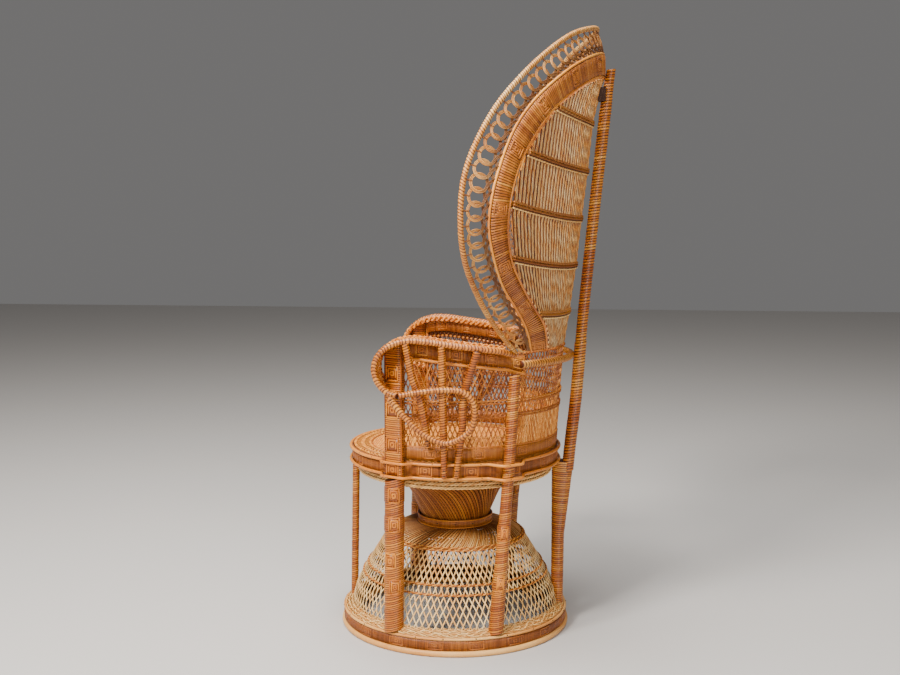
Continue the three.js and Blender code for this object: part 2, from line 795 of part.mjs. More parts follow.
function armLoopSolid(extra) {
  const start = armPolePoints[armPolePoints.length - 1];
  const before = armPolePoints[armPolePoints.length - 2];
  const ahead = start.clone().sub(before).setLength(gap).add(start);
  const points = armLoopShares.map(([outShare, alongShare, downShare]) => {
    const point = armPoint(1, alongShare, downShare);
    point.x += outShare <= 0.5 ? arm.loopOffset * outShare * 2
      : arm.loopOffset + (arm.loopEndOffset - arm.loopOffset) * (outShare * 2 - 1);
    return point;
  });
  const loopSteps = 20;
  return tube(catmull([ahead, ...points]), loopSteps, () => armPoleRadius + extra, poleSides);
}

// The sheet's edges: along the pole, and along the wall's round inside
function armSheetEdges() {
  const sheetSteps = 18;
  const curve = catmull(armPolePoints);
  const innerHold = armPost.angle;
  const least = polar(sheetInnerRadius, innerHold, 0).x;
  const outer = [];
  const inner = [];
  for (let i = 0; i <= sheetSteps; i += 1) {
    const point = curve.getPointAt(i / sheetSteps);
    if (point.y > armSheetBackEnd) continue;
    outer.push(new THREE.Vector3(point.x - armPoleRadius - gap, point.y, point.z));
    const reach = Math.sqrt(Math.max(0, sheetInnerRadius ** 2 - point.y ** 2));
    const across = point.y < 0 ? Math.max(reach, least) : reach;
    inner.push(new THREE.Vector3(across, point.y, point.z));
  }
  return { outer, inner };
}

function armSheetSolid(extra) {
  const { outer, inner } = armSheetEdges();
  outer.forEach((point) => point.setX(point.x + extra));
  inner.forEach((point) => point.setX(point.x - extra));
  const half = arm.sheetThickness / 2 + extra;
  const sections = outer.map((point, i) => {
    const along = outer[Math.min(i + 1, outer.length - 1)].clone().sub(outer[Math.max(i - 1, 0)]);
    const normal = new THREE.Vector3(0, -along.z, along.y).normalize();
    return [
      point.clone().addScaledVector(normal, half), inner[i].clone().addScaledVector(normal, half),
      inner[i].clone().addScaledVector(normal, -half), point.clone().addScaledVector(normal, -half),
    ];
  });
  return loft(sections);
}

function armBraidSolid() {
  const braidSteps = 12;
  const radius = arm.braidThickness / 2;
  const points = armSheetEdges().inner.map((point) => (
    new THREE.Vector3(point.x - radius - gap, point.y, point.z)
  ));
  return tube(catmull(points), braidSteps, () => radius, poleSides);
}

function strutSolid(shares) {
  const strutSteps = 6;
  const taperShare = 0.75;
  const radiusAt = (share) => {
    const taper = Math.max(0, (share - taperShare) / (1 - taperShare));
    return (arm.strutThickness + (arm.strutTipThickness - arm.strutThickness) * taper) / 2;
  };
  return tube(catmull(shares.map((place) => armPoint(...place))), strutSteps, radiusAt, poleSides);
}

function buildArms() {
  const grownPole = armPoleSolid(gap);
  const grownRim = rimSolid(gap);
  const grownCanes = [topCaneHeight, bottomCaneHeight].map((height) => seatCaneTube(height, gap));
  addPair('arm_pole', cut(armPoleSolid(0), grownRim), 'wrap');
  addPair('arm_loop', cut(armLoopSolid(0), grownPole), 'wrap');
  const grownLoop = armLoopSolid(gap);
  strutShares.forEach((shares, i) => {
    const solid = cut(strutSolid(shares), grownPole, grownLoop, armSheetSolid(gap), ...grownCanes);
    addPair(`arm_strut_${i + 1}`, solid, 'wrap');
  });
  addPair('arm_sheet', cut(armSheetSolid(0), grownPole, bare(armPostSolid(gap * 2))), 'cane');
  const braid = cut(armBraidSolid(), armSheetSolid(gap), bare(armPostSolid(gap * 2)));
  addPair('arm_inner_braid', braid, 'cane');
  addPair('arm_outer_band', armOuterBandSolid(0), 'band');
  addPair('arm_outer_cane', armOuterCane(), 'cane');
  addPair('arm_inner_band', wallSheet({
    columns: wall.innerBandColumns,
    inner: -wall.thickness - wallBandOuter, outer: -wall.thickness - gap,
    lowAt: (degrees) => armUnder(degrees) - arm.innerBandHeight, highAt: armUnder,
  }), 'band');
}

function armOuterBandSolid(extra) {
  return wallSheet({
    columns: wall.outerBandColumns, inner: gap, outer: wallBandOuter + extra,
    lowAt: armBandBottom, highAt: (degrees) => armBandBottom(degrees) + arm.outerBandHeight,
  });
}

// The cane under the outer band, from the arm post back past the rear post
function armOuterCane() {
  const radius = arm.caneThickness / 2;
  const corner = cornerRadius(arm.caneThickness);
  const columns = wall.outerBandColumns;
  const points = Array.from({ length: columns }, (_, i) => {
    const degrees = wallAngle(i + 1);
    const drop = (gap + corner) * armBandSteepness(degrees);
    return wallPoint(degrees, armBandBottom(degrees) - drop, gap + corner);
  });
  return tube(catmull(points), columns, () => radius, poleSides);
}

// How much longer the outer band's edge is than its run, the more the arm slopes
function armBandSteepness(degrees) {
  const [before, after] = [degrees - wallColumn / 2, degrees + wallColumn / 2];
  const run = wallRadius * radians(wallColumn);
  return Math.hypot(run, armBandBottom(after) - armBandBottom(before)) / run;
}

// Fan: the rim pole, the lace, the flat band between two canes, and the woven back

function fanCurve(shares) {
  const left = shares.map(([across, back, up]) => new THREE.Vector3(
    fan.halfWidth * across, fanFront + fan.depth * back, fanFoot + fan.height * up,
  ));
  const right = left.slice(0, -1).reverse().map((point) => point.clone().setX(-point.x));
  return catmull([...left, ...right]);
}

const rimCurve = fanCurve(rimShares);
const bandOuterCurve = fanCurve(bandOuterShares);
const bandInnerCurve = fanCurve(bandInnerShares);

function stationPoints(curve) {
  return curve.getSpacedPoints(fan.stations);
}

function rimSolid(extra) {
  return tube(rimCurve, fan.stations, () => fan.poleThickness / 2 + extra, poleSides);
}

function fanCaneSolid(curve, extra) {
  return tube(curve, fan.stations, () => fanCane + extra, caneSides);
}

function tangentAt(points, i) {
  return points[Math.min(i + 1, points.length - 1)].clone().sub(points[Math.max(i - 1, 0)]).normalize();
}

// Ribbon sections between two curves: each is outer and inner edge, front and back
function ribbonSections(outerCurve, innerCurve, outerInset, innerInset, thickness) {
  const outer = stationPoints(outerCurve);
  const inner = stationPoints(innerCurve);
  return outer.map((point, i) => {
    const across = inner[i].clone().sub(point).normalize();
    const outerSide = tangentAt(outer, i).cross(across);
    const innerSide = tangentAt(inner, i).cross(across);
    const normal = outerSide.clone().normalize().multiplyScalar(thickness / 2);
    const outerEdge = point.clone().addScaledVector(across, outerInset / outerSide.length());
    const innerEdge = inner[i].clone().addScaledVector(across, -innerInset / innerSide.length());
    return [
      outerEdge.clone().add(normal), innerEdge.clone().add(normal),
      innerEdge.clone().sub(normal), outerEdge.clone().sub(normal),
    ];
  });
}

// The lace: a ribbon with one oval hole for each station
function laceSolid() {
  const sections = ribbonSections(
    rimCurve, bandOuterCurve, fan.poleThickness / 2 + fan.fit, fanCane + fan.fit, fan.laceThickness,
  );
  const holeSides = 8;
  const holeLengthShare = 0.3;
  const holeWidthShare = 0.36;
  const positions = sections.flatMap((section) => section.flatMap((point) => point.toArray()));
  const triangles = [];
  for (let i = 0; i < fan.stations; i += 1) {
    const here = i * 4;
    const there = here + 4;
    const holes = [[0, 1], [3, 2]].map(([outer, inner]) => {
      const first = positions.length / 3;
      const corners = [sections[i][outer], sections[i + 1][outer], sections[i + 1][inner],
        sections[i][inner]];
      for (let k = 0; k < holeSides; k += 1) {
        const turn = circle * (k + 0.5) / holeSides;
        const along = 0.5 - holeLengthShare * Math.cos(turn);
        const across = 0.5 - holeWidthShare * Math.sin(turn);
        const outerSide = corners[0].clone().lerp(corners[1], along);
        const innerSide = corners[3].clone().lerp(corners[2], along);
        positions.push(...outerSide.lerp(innerSide, across).toArray());
      }
      return first;
    });
    const faces = [
      [here, there, there + 1, here + 1, holes[0], false],
      [here + 3, there + 3, there + 2, here + 2, holes[1], true],
    ];
    faces.forEach(([a, b, c, d, first, flipped]) => {
      laceFace([a, b, c, d], first, holeSides).forEach(([p, q, r]) => {
        triangles.push(...(flipped ? [p, r, q] : [p, q, r]));
      });
    });
    for (let k = 0; k < holeSides; k += 1) {
      const next = (k + 1) % holeSides;
      triangles.push(holes[0] + k, holes[0] + next, holes[1] + next);
      triangles.push(holes[0] + k, holes[1] + next, holes[1] + k);
    }
    triangles.push(here, here + 3, there + 3, here, there + 3, there);
    triangles.push(here + 1, there + 1, there + 2, here + 1, there + 2, here + 2);
  }
  const end = fan.stations * 4;
  triangles.push(0, 1, 2, 0, 2, 3, end, end + 2, end + 1, end, end + 3, end + 2);
  return body(positions, triangles);
}

// Joins a cell's four corners to its eight hole points, which start beside the first corner
function laceFace([a, b, c, d], first, holeSides) {
  const hole = (k) => first + (k % holeSides);
  const corners = [a, b, c, d];
  const perCorner = holeSides / 4;
  const faces = [];
  corners.forEach((corner, side) => {
    const start = side * perCorner + holeSides - 1;
    for (let k = 0; k < perCorner; k += 1) {
      faces.push([corner, hole(start + k + 1), hole(start + k)]);
    }
    const next = corners[(side + 1) % 4];
    faces.push([corner, next, hole(start + perCorner)]);
  });
  return faces;
}

// The woven back: rows that join the two sides of the inner cane and sag a little
function backWeaveRows() {
  const outer = stationPoints(bandOuterCurve);
  const inner = stationPoints(bandInnerCurve);
  const rowCount = fan.stations / 4 + 1;
  const half = fan.weaveThickness / 2;
  const middleLine = spineLineShares.map(([back, up]) => [
    fanFoot + fan.height * up, fanFront + fan.depth * back,
  ]);
  const rows = [];
  for (let k = 0; k < rowCount; k += 1) {
    const i = Math.max(0, 2 * k - 1); // the first station, then every second one
    const inward = inner[i].clone().sub(outer[i]).normalize();
    const edge = inner[i].clone().addScaledVector(inward, fanCane + fan.fit + half);
    const sag = rowSagShare * Math.max(0, edge.x - inner[0].x);
    rows.push(Array.from({ length: fan.weaveColumns + 1 }, (_, column) => {
      const share = 1 - 2 * column / fan.weaveColumns;
      const height = edge.z - sag * (1 - share * share);
      const middle = readTable(middleLine, height);
      const place = middle + (edge.y - middle) * forwardShare(share);
      return new THREE.Vector3(edge.x * share, place, height);
    }));
  }
  return rows;
}

// How far forward the weave has come at a share across, from its middle to its edge
function forwardShare(share) {
  return Math.abs(share) ** fan.weaveCurve;
}

// A place on the weave, by the height of its row's middle and the share across
function weavePoint(rows, height, share) {
  const half = fan.weaveColumns / 2;
  const next = Math.max(1, rows.findIndex((row) => row[half].z > height));
  const [lower, upper] = [rows[next - 1], rows[next]];
  const mix = (height - lower[half].z) / (upper[half].z - lower[half].z);
  const edge = lower[0].clone().lerp(upper[0], mix);
  const middle = lower[half].clone().lerp(upper[half], mix);
  const level = edge.z - (edge.z - middle.z) * (1 - share * share);
  const place = middle.y + (edge.y - middle.y) * forwardShare(share);
  return new THREE.Vector3(edge.x * share, place, level);
}

// Upright openings between the twined rows, as bodies that reach through the weave
function backOpeningSolids() {
  const rows = backWeaveRows();
  const { columns, widthShare, reachShare, rowMarginShare } = backOpenings;
  const levels = spineLineShares.map(([, up]) => up).slice(1);
  const pitch = 2 * reachShare / columns;
  return levels.slice(1).flatMap((up, i) => {
    const low = fanFoot + fan.height * (levels[i] + rowMarginShare);
    const high = fanFoot + fan.height * (up - rowMarginShare);
    return Array.from({ length: columns }, (_, k) => {
      const middle = reachShare - pitch * (k + 0.5);
      const sides = [middle + pitch * widthShare / 2, middle - pitch * widthShare / 2];
      const corners = [low, high].map((height) => (
        sides.map((share) => weavePoint(rows, height, share))
      ));
      return thickened(corners, fan.weaveThickness * 5, fan.weaveThickness * 5);
    });
  });
}

// A sheet of rows of points, made one closed body by moving it back and forward along Y
function thickened(rows, behind, before) {
  const columns = rows[0].length;
  const back = rows.length * columns;
  const positions = [behind, -before].flatMap((shift) => (
    rows.flatMap((row) => row.flatMap((point) => [point.x, point.y + shift, point.z]))
  ));
  const triangles = [];
  const quad = (a, b, c, d) => triangles.push(a, b, c, a, c, d);
  for (let i = 0; i < rows.length - 1; i += 1) {
    for (let k = 0; k < columns - 1; k += 1) {
      const at = i * columns + k;
      quad(at, at + 1, at + columns + 1, at + columns);
      quad(back + at, back + at + columns, back + at + columns + 1, back + at + 1);
    }
    const left = i * columns;
    const right = left + columns - 1;
    quad(left, left + columns, back + left + columns, back + left);
    quad(right, back + right, back + right + columns, right + columns);
  }
  const top = (rows.length - 1) * columns;
  for (let k = 0; k < columns - 1; k += 1) {
    quad(k, back + k, back + k + 1, k + 1);
    quad(top + k, top + k + 1, back + top + k + 1, back + top + k);
  }
  return body(positions, triangles);
}

function rimBandSolid(extra) {
  return loft(ribbonSections(bandOuterCurve, bandInnerCurve, fanCane + fan.fit - extra,
    fanCane + fan.fit - extra, fan.bandThickness + extra * 2));
}

function buildFan() {
  add('rim_pole', rimSolid(0), 'wrap');
  add('rim_lace', laceSolid(), 'cane');
  add('band_outer_cane', fanCaneSolid(bandOuterCurve, 0), 'cane');
  add('rim_band', rimBandSolid(0), 'band');
  add('band_inner_cane', fanCaneSolid(bandInnerCurve, 0), 'cane');
  const half = fan.weaveThickness / 2;
  const weave = thickened(backWeaveRows(), half, half);
  const cutters = [fanCaneSolid(bandInnerCurve, gap), rimBandSolid(gap), ...backOpeningSolids()];
  add('back_weave', cut(weave, ...cutters), 'weave');
}

// Spine pole, its block under the crown, and the belt that ties it to the rear posts

function spineCurve() {
  return catmull(spineShares.map(([leanShare, upShare]) => new THREE.Vector3(
    0, spineFootPlace + spine.lean * leanShare, spineFoot + spineHeight * upShare,
  )));
}

function spineSolid(extra) {
  const spineSteps = 14;
  const taperShare = 0.93;
  const radiusAt = (share) => {
    const taper = Math.max(0, (share - taperShare) / (1 - taperShare));
    return (spine.thickness + (spine.tipThickness - spine.thickness) * taper) / 2 + extra;
  };
  return tube(spineCurve(), spineSteps, radiusAt, poleSides + 2);
}

function spineFrontAt(height) {
  const line = spineShares.map(([leanShare, upShare]) => [
    spineFoot + spineHeight * upShare, spineFootPlace + spine.lean * leanShare,
  ]);
  return readTable(line, height) - spine.thickness / 2;
}

function buildSpine() {
  const fittings = [
    rearLegSolid(rearLeg.thickness + gap * 2), rimBandSolid(gap), fanCaneSolid(bandInnerCurve, gap),
    fanCaneSolid(bandOuterCurve, gap),
  ];
  add('spine_pole', cut(spineSolid(0), ...fittings), 'wrap');
  const top = spineFoot + spineHeight - spine.blockDrop;
  const block = new THREE.BoxGeometry(spine.blockWidth, spine.blockDepth, spine.blockHeight)
    .translate(0, spineFrontAt(top) + gap, top);
  const weaveAndFront = thickened(backWeaveRows(), fan.weaveThickness / 2 + gap, spine.blockDepth);
  const cutters = [spineSolid(gap), weaveAndFront, fanCaneSolid(bandInnerCurve, gap), rimBandSolid(gap)];
  add('spine_block', cut(bare(block), ...cutters), 'timber');
}

// The belt leaves the arm's outer band, swings back to lean on the spine and returns
function buildBelt() {
  const radius = belt.thickness / 2;
  const height = wallTop - belt.drop;
  const endOut = wallBandOuter + radius / 2;
  const backOut = spineFrontAt(height) - radius / 2 - wallPoint(90, height, 0).y;
  const beltSteps = 18;
  const points = Array.from({ length: beltSteps + 1 }, (_, i) => {
    const share = 1 - 2 * i / beltSteps;
    const out = backOut + (endOut - backOut) * share * share;
    return wallPoint(90 - (90 - belt.endAngle) * share, height, out);
  });
  const solid = tube(catmull(points), beltSteps, () => radius, poleSides);
  const seats = [armOuterBandSolid(gap)];
  add('belt_hoop', cut(solid, spineSolid(gap), ...seats, ...seats.map(mirrored)), 'wrap');
}

buildBase();
buildSkirt();
buildWaist();
buildSeat();
buildLegs();
buildPosts();
buildWall();
buildArms();
buildFan();
buildSpine();
buildBelt();

// The chair is moved so that the middle of its box stands over the origin
const whole = new THREE.Box3().setFromObject(chair);
chair.position.y = -(whole.min.y + whole.max.y) / 2;

const model = new THREE.Group();
model.add(chair);

export default model;
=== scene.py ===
import math

import bpy
import numpy as np
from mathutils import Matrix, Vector


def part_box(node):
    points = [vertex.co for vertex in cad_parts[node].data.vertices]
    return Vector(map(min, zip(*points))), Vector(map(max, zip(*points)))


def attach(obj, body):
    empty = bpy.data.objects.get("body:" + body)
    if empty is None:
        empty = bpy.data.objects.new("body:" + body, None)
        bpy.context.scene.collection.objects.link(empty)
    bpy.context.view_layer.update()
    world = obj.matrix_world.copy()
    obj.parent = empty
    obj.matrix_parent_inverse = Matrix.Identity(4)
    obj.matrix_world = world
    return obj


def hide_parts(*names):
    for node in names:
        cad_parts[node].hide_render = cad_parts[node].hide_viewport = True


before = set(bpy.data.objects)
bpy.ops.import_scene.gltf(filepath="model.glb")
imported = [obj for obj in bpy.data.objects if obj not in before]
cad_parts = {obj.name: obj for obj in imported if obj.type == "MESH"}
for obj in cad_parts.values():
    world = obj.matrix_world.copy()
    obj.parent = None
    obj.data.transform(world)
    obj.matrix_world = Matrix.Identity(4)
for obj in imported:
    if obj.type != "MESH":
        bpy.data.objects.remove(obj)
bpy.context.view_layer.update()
dice = np.random.default_rng(11)
fullTurn = 2 * math.pi
mm = 0.001


# camera, light and floor

shot = {
    "place": (3.1316, 0.2586, 1.1126),
    "forward": (-0.9881, -0.1021, -0.1149),
    "lens": 48.8,  # mm
    "sensor": 36,  # mm
    "reach": 50,
}


def makeCamera():
    data = bpy.data.cameras.new("camera")
    data.lens = shot["lens"]
    data.sensor_width = shot["sensor"]
    data.clip_end = shot["reach"]
    camera = bpy.data.objects.new("camera", data)
    bpy.context.collection.objects.link(camera)
    camera.location = shot["place"]
    camera.rotation_mode = "QUATERNION"
    camera.rotation_quaternion = Vector(shot["forward"]).to_track_quat("-Z", "Y")
    bpy.context.scene.camera = camera


studio = {
    "floorHalf": 9.0,
    "floorColor": (0.54, 0.52, 0.50, 1),
    "floorRoughness": 0.85,
    "worldColor": (0.93, 0.91, 0.90, 1),
    "worldStrength": 0.18,
    # name, place, aimed at, size across, watts, color
    "lights": [
        ("keyLight", (2.7, -1.7, 3.3), (0, 0, 0.7), 1.0, 300, (1.0, 0.95, 0.89)),
        ("fillLight", (3.4, 1.4, 1.7), (0, 0, 0.7), 1.2, 64, (1.0, 0.97, 0.94)),
        ("topLight", (0.3, -0.3, 3.9), (0, 0, 0.6), 2.2, 190, (1.0, 0.98, 0.95)),
    ],
}


def makeStudio():
    half = studio["floorHalf"]
    mesh = bpy.data.meshes.new("floor")
    mesh.from_pydata([(-half, -half, 0), (half, -half, 0), (half, half, 0), (-half, half, 0)],
                     [], [(0, 1, 2, 3)])
    floor = bpy.data.objects.new("floor", mesh)
    bpy.context.collection.objects.link(floor)
    paint = bpy.data.materials.new("floorPaint")
    paint.use_nodes = True
    shader = paint.node_tree.nodes["Principled BSDF"]
    shader.inputs["Base Color"].default_value = studio["floorColor"]
    shader.inputs["Roughness"].default_value = studio["floorRoughness"]
    mesh.materials.append(paint)

    world = bpy.data.worlds.new("studio")
    world.use_nodes = True
    background = world.node_tree.nodes["Background"]
    background.inputs["Color"].default_value = studio["worldColor"]
    background.inputs["Strength"].default_value = studio["worldStrength"]
    bpy.context.scene.world = world

    for name, place, target, size, watts, color in studio["lights"]:
        data = bpy.data.lights.new(name, "AREA")
        data.size, data.energy, data.color = size, watts, color
        light = bpy.data.objects.new(name, data)
        bpy.context.collection.objects.link(light)
        light.location = place
        light.rotation_mode = "QUATERNION"
        light.rotation_quaternion = (Vector(target) - Vector(place)).to_track_quat("-Z", "Y")


# finishes: each strand carries a tone, a painted shade for its grooves, backs and flanks, and its
# length

finishes = {
    "wrap": {  # varnished cane peel wound on the legs, the posts and the spine
        "colors": [(0.0, (0.17, 0.026, 0.001)), (0.4, (0.46, 0.108, 0.004)),
                   (0.75, (0.74, 0.245, 0.013)), (1.0, (0.90, 0.44, 0.065))],
        "paintedShade": (0.050, 0.007, 0.0005), "roughness": (0.3, 0.5), "coat": 0.2, "bump": 0.12,
    },
    "honey": {  # the arms, the struts, the belt and the deck
        "colors": [(0.0, (0.30, 0.065, 0.004)), (0.4, (0.62, 0.190, 0.014)),
                   (0.75, (0.84, 0.340, 0.040)), (1.0, (0.93, 0.520, 0.12))],
        "paintedShade": (0.080, 0.014, 0.001), "roughness": (0.3, 0.5), "coat": 0.2, "bump": 0.12,
    },
    "paleWrap": {  # lighter, newer peel on the rim of the fan
        "colors": [(0.0, (0.48, 0.150, 0.014)), (0.4, (0.76, 0.320, 0.045)),
                   (0.75, (0.93, 0.560, 0.18)), (1.0, (0.97, 0.720, 0.34))],
        "paintedShade": (0.15, 0.032, 0.003), "roughness": (0.32, 0.5), "coat": 0.2, "bump": 0.12,
    },
    "cane": {  # peeled light canes
        "colors": [(0.0, (0.34, 0.095, 0.014)), (0.35, (0.66, 0.275, 0.055)),
                   (0.7, (0.90, 0.560, 0.20)), (1.0, (0.97, 0.780, 0.44))],
        "paintedShade": (0.060, 0.012, 0.002), "roughness": (0.42, 0.6), "coat": 0.08, "bump": 0.15,
    },
    "weave": {  # browner canes of the back, the cone and the wall
        "colors": [(0.0, (0.12, 0.022, 0.002)), (0.4, (0.42, 0.115, 0.009)),
                   (0.75, (0.78, 0.310, 0.040)), (1.0, (0.98, 0.640, 0.24))],
        "paintedShade": (0.030, 0.005, 0.001), "roughness": (0.42, 0.6), "coat": 0.08, "bump": 0.15,
    },
    "band": {  # stained flat strips
        "colors": [(0.0, (0.10, 0.022, 0.003)), (0.4, (0.32, 0.082, 0.008)),
                   (0.75, (0.58, 0.180, 0.016)), (1.0, (0.84, 0.390, 0.065))],
        "paintedShade": (0.022, 0.004, 0.0005), "roughness": (0.34, 0.55), "coat": 0.15, "bump": 0.12,
    },
    "timber": {  # dark hidden wood
        "colors": [(0.0, (0.022, 0.006, 0.001)), (0.5, (0.060, 0.015, 0.002)),
                   (1.0, (0.11, 0.032, 0.004))],
        "paintedShade": (0.012, 0.003, 0.0005), "roughness": (0.65, 0.85), "coat": 0.0, "bump": 0.3,
    },
}
# three noises by how often they repeat, how much of each and of the strand's tone picks the
# color, and what all the finishes have in common
grain = {
    "fibre": 90, "patch": 11, "fine": 420,
    "fibreShare": 0.22, "patchShare": 0.3, "fineShare": 0.16, "toneShare": 0.62, "darken": 0.13,
    "toneStep": 7.0,  # how far apart the fibres of two tones lie in the noise
    "coatRoughness": 0.3, "specular": 0.4, "bumpDepth": 0.6 * mm,
}
nailFinish = {
    "colors": [(0.012, 0.009, 0.008), (0.07, 0.045, 0.03)], "speckle": 500.0, "roughness": 0.5,
    "metallic": 0.6,
}
mixSocket = {"factor": 0, "first": 6, "second": 7, "color": 2}  # of a mix node for colors


def addNode(tree, kind, **settings):
    node = tree.nodes.new(kind)
    for key, value in settings.items():
        setattr(node, key, value)
    return node


def mathNode(tree, operation, first, second, clamp=False):
    node = addNode(tree, "ShaderNodeMath", operation=operation, use_clamp=clamp)
    for socket, value in zip(node.inputs, (first, second)):
        if isinstance(value, (int, float)):
            socket.default_value = value
        else:
            tree.links.new(value, socket)
    return node.outputs[0]


def strandValue(tree, name):
    return addNode(tree, "ShaderNodeAttribute", attribute_name=name).outputs["Fac"]


def noiseValue(tree, vector, scale, detail=2.0):
    node = addNode(tree, "ShaderNodeTexNoise")
    node.inputs["Scale"].default_value = scale
    node.inputs["Detail"].default_value = detail
    tree.links.new(vector, node.inputs["Vector"])
    return node.outputs["Fac"]


def makeFinish(name):
    finish = finishes[name]
    material = bpy.data.materials.new(name)
    material.use_nodes = True
    tree = material.node_tree
    link = tree.links.new
    shader = tree.nodes["Principled BSDF"]
    place = addNode(tree, "ShaderNodeTexCoord").outputs["Object"]
    tone, shade, along = (strandValue(tree, key) for key in ("tone", "shade", "along"))

    lengthwise = addNode(tree, "ShaderNodeCombineXYZ")
    link(along, lengthwise.inputs["X"])
    link(mathNode(tree, "MULTIPLY", tone, grain["toneStep"]), lengthwise.inputs["Y"])
    fibre = noiseValue(tree, lengthwise.outputs[0], grain["fibre"])
    patch = noiseValue(tree, place, grain["patch"], 3.0)
    fine = noiseValue(tree, place, grain["fine"], 3.0)

    mottled = mathNode(tree, "ADD", mathNode(tree, "MULTIPLY", fibre, grain["fibreShare"]),
                       mathNode(tree, "MULTIPLY", patch, grain["patchShare"]))
    mottled = mathNode(tree, "ADD", mottled,
                       mathNode(tree, "MULTIPLY", fine, grain["fineShare"]))
    toned = mathNode(tree, "ADD", mathNode(tree, "MULTIPLY", tone, grain["toneShare"]),
                     mathNode(tree, "SUBTRACT", mottled, grain["darken"]), clamp=True)
    ramp = addNode(tree, "ShaderNodeValToRGB")
    stops = ramp.color_ramp.elements
    while len(stops) < len(finish["colors"]):
        stops.new(0.5)
    for stop, (position, color) in zip(stops, finish["colors"]):
        stop.position, stop.color = position, (*color, 1)
    link(toned, ramp.inputs["Fac"])

    # the finish's painted shade color is mixed in as far as the strand's shade asks
    paintedShade = addNode(tree, "ShaderNodeMix", data_type="RGBA")
    paintedShade.inputs[mixSocket["second"]].default_value = (*finish["paintedShade"], 1)
    link(shade, paintedShade.inputs[mixSocket["factor"]])
    link(ramp.outputs["Color"], paintedShade.inputs[mixSocket["first"]])
    link(paintedShade.outputs[mixSocket["color"]], shader.inputs["Base Color"])

    low, high = finish["roughness"]
    rough = addNode(tree, "ShaderNodeMapRange")
    rough.inputs["To Min"].default_value = low
    rough.inputs["To Max"].default_value = high
    link(fine, rough.inputs["Value"])
    link(rough.outputs["Result"], shader.inputs["Roughness"])
    shader.inputs["Coat Weight"].default_value = finish["coat"]
    shader.inputs["Coat Roughness"].default_value = grain["coatRoughness"]
    shader.inputs["Specular IOR Level"].default_value = grain["specular"]
    bump = addNode(tree, "ShaderNodeBump")
    bump.inputs["Strength"].default_value = finish["bump"]
    bump.inputs["Distance"].default_value = grain["bumpDepth"]
    link(mathNode(tree, "ADD", fine, fibre), bump.inputs["Height"])
    link(bump.outputs["Normal"], shader.inputs["Normal"])
    return material


def makeNailFinish():
    material = bpy.data.materials.new("nailHead")
    material.use_nodes = True
    tree = material.node_tree
    shader = tree.nodes["Principled BSDF"]
    place = addNode(tree, "ShaderNodeTexCoord").outputs["Object"]
    ramp = addNode(tree, "ShaderNodeValToRGB")
    for stop, color in zip(ramp.color_ramp.elements, nailFinish["colors"]):
        stop.color = (*color, 1)
    tree.links.new(noiseValue(tree, place, nailFinish["speckle"]), ramp.inputs["Fac"])
    tree.links.new(ramp.outputs["Color"], shader.inputs["Base Color"])
    shader.inputs["Roughness"].default_value = nailFinish["roughness"]
    shader.inputs["Metallic"].default_value = nailFinish["metallic"]
    return material


# lines

def unit(vectors):
    return vectors / np.maximum(np.linalg.norm(vectors, axis=-1, keepdims=True), 1e-12)


def dot(first, second):
    return (first * second).sum(-1, keepdims=True)


def arcLengths(line):
    return np.concatenate([[0], np.cumsum(np.linalg.norm(np.diff(line, axis=0), axis=1))])


def readLine(line, lengths):
    travelled = arcLengths(line)
    return np.stack([np.interp(lengths, travelled, line[:, axis]) for axis in range(3)], -1)


def resample(line, count):
    return readLine(line, np.linspace(0, arcLengths(line)[-1], count))


# a centripetal Catmull-Rom curve through the points, like the solids' own lines
def smoothCurve(points, count=400, steps=24):
    points = np.asarray(points, float)
    ends = (2 * points[:1] - points[1:2], 2 * points[-1:] - points[-2:-1])
    p = np.vstack([ends[0], points, ends[1]])
    knots = np.concatenate([[0], np.cumsum(np.linalg.norm(np.diff(p, axis=0), axis=1) ** 0.5)])
    pieces = []
    for i in range(1, len(p) - 2):
        t = np.linspace(knots[i], knots[i + 1], steps, endpoint=False)[:, None]

        def blend(left, right, a, b):
            return ((knots[b] - t) * left + (t - knots[a]) * right) / (knots[b] - knots[a])
        first = [blend(p[i + k], p[i + k + 1], i + k, i + k + 1) for k in (-1, 0, 1)]
        second = [blend(first[0], first[1], i - 1, i + 1), blend(first[1], first[2], i, i + 2)]
        pieces.append(blend(second[0], second[1], i, i + 1))
    return resample(np.vstack([*pieces, p[-2:-1]]), count)


# a normal for each point of each line that doesn't twist about it
def carriedNormals(tangents):
    count = tangents.shape[1]
    start = tangents[:, 0]
    away = np.where(np.abs(start[:, 2:3]) < 0.9, [[0, 0, 1.0]], [[1.0, 0, 0]])
    normal = unit(away - dot(away, start) * start)
    normals = [normal]
    for i in range(1, count):
        normal = unit(normal - dot(normal, tangents[:, i]) * tangents[:, i])
        normals.append(normal)
    return np.stack(normals, 1)


# bodies: a part is points in sections, with a tone, a shade and a length for each

def loft(sections, closed=False, tone=0.5, shade=0.0, along=None):
    sections = np.asarray(sections, float)
    strands, count, corners, _ = sections.shape
    index = np.arange(strands * count * corners).reshape(strands, count, corners)
    here, there = (index, np.roll(index, -1, 1)) if closed else (index[:, :-1], index[:, 1:])
    quads = np.stack([here, there, np.roll(there, -1, 2), np.roll(here, -1, 2)], -1)
    caps = [] if closed else [index[:, 0], index[:, -1, ::-1]]
    if along is None:
        middles = sections.mean(2)
        along = np.zeros((strands, count))
        along[:, 1:] = np.cumsum(np.linalg.norm(np.diff(middles, axis=1), axis=-1), 1)
    spread = [np.broadcast_to(shapeTo(value, 3), (strands, count, corners)).reshape(-1)
              for value in (tone, shade, along)]
    return {"points": sections.reshape(-1, 3), "quads": quads.reshape(-1, 4),
            "caps": np.vstack(caps) if caps else np.zeros((0, corners), int), "values": spread}


# gives an array trailing axes, so that one value per strand or per ring fits every corner
def shapeTo(value, axes):
    value = np.asarray(value, float)
    return value.reshape(value.shape + (1,) * (axes - value.ndim)) if value.ndim else value


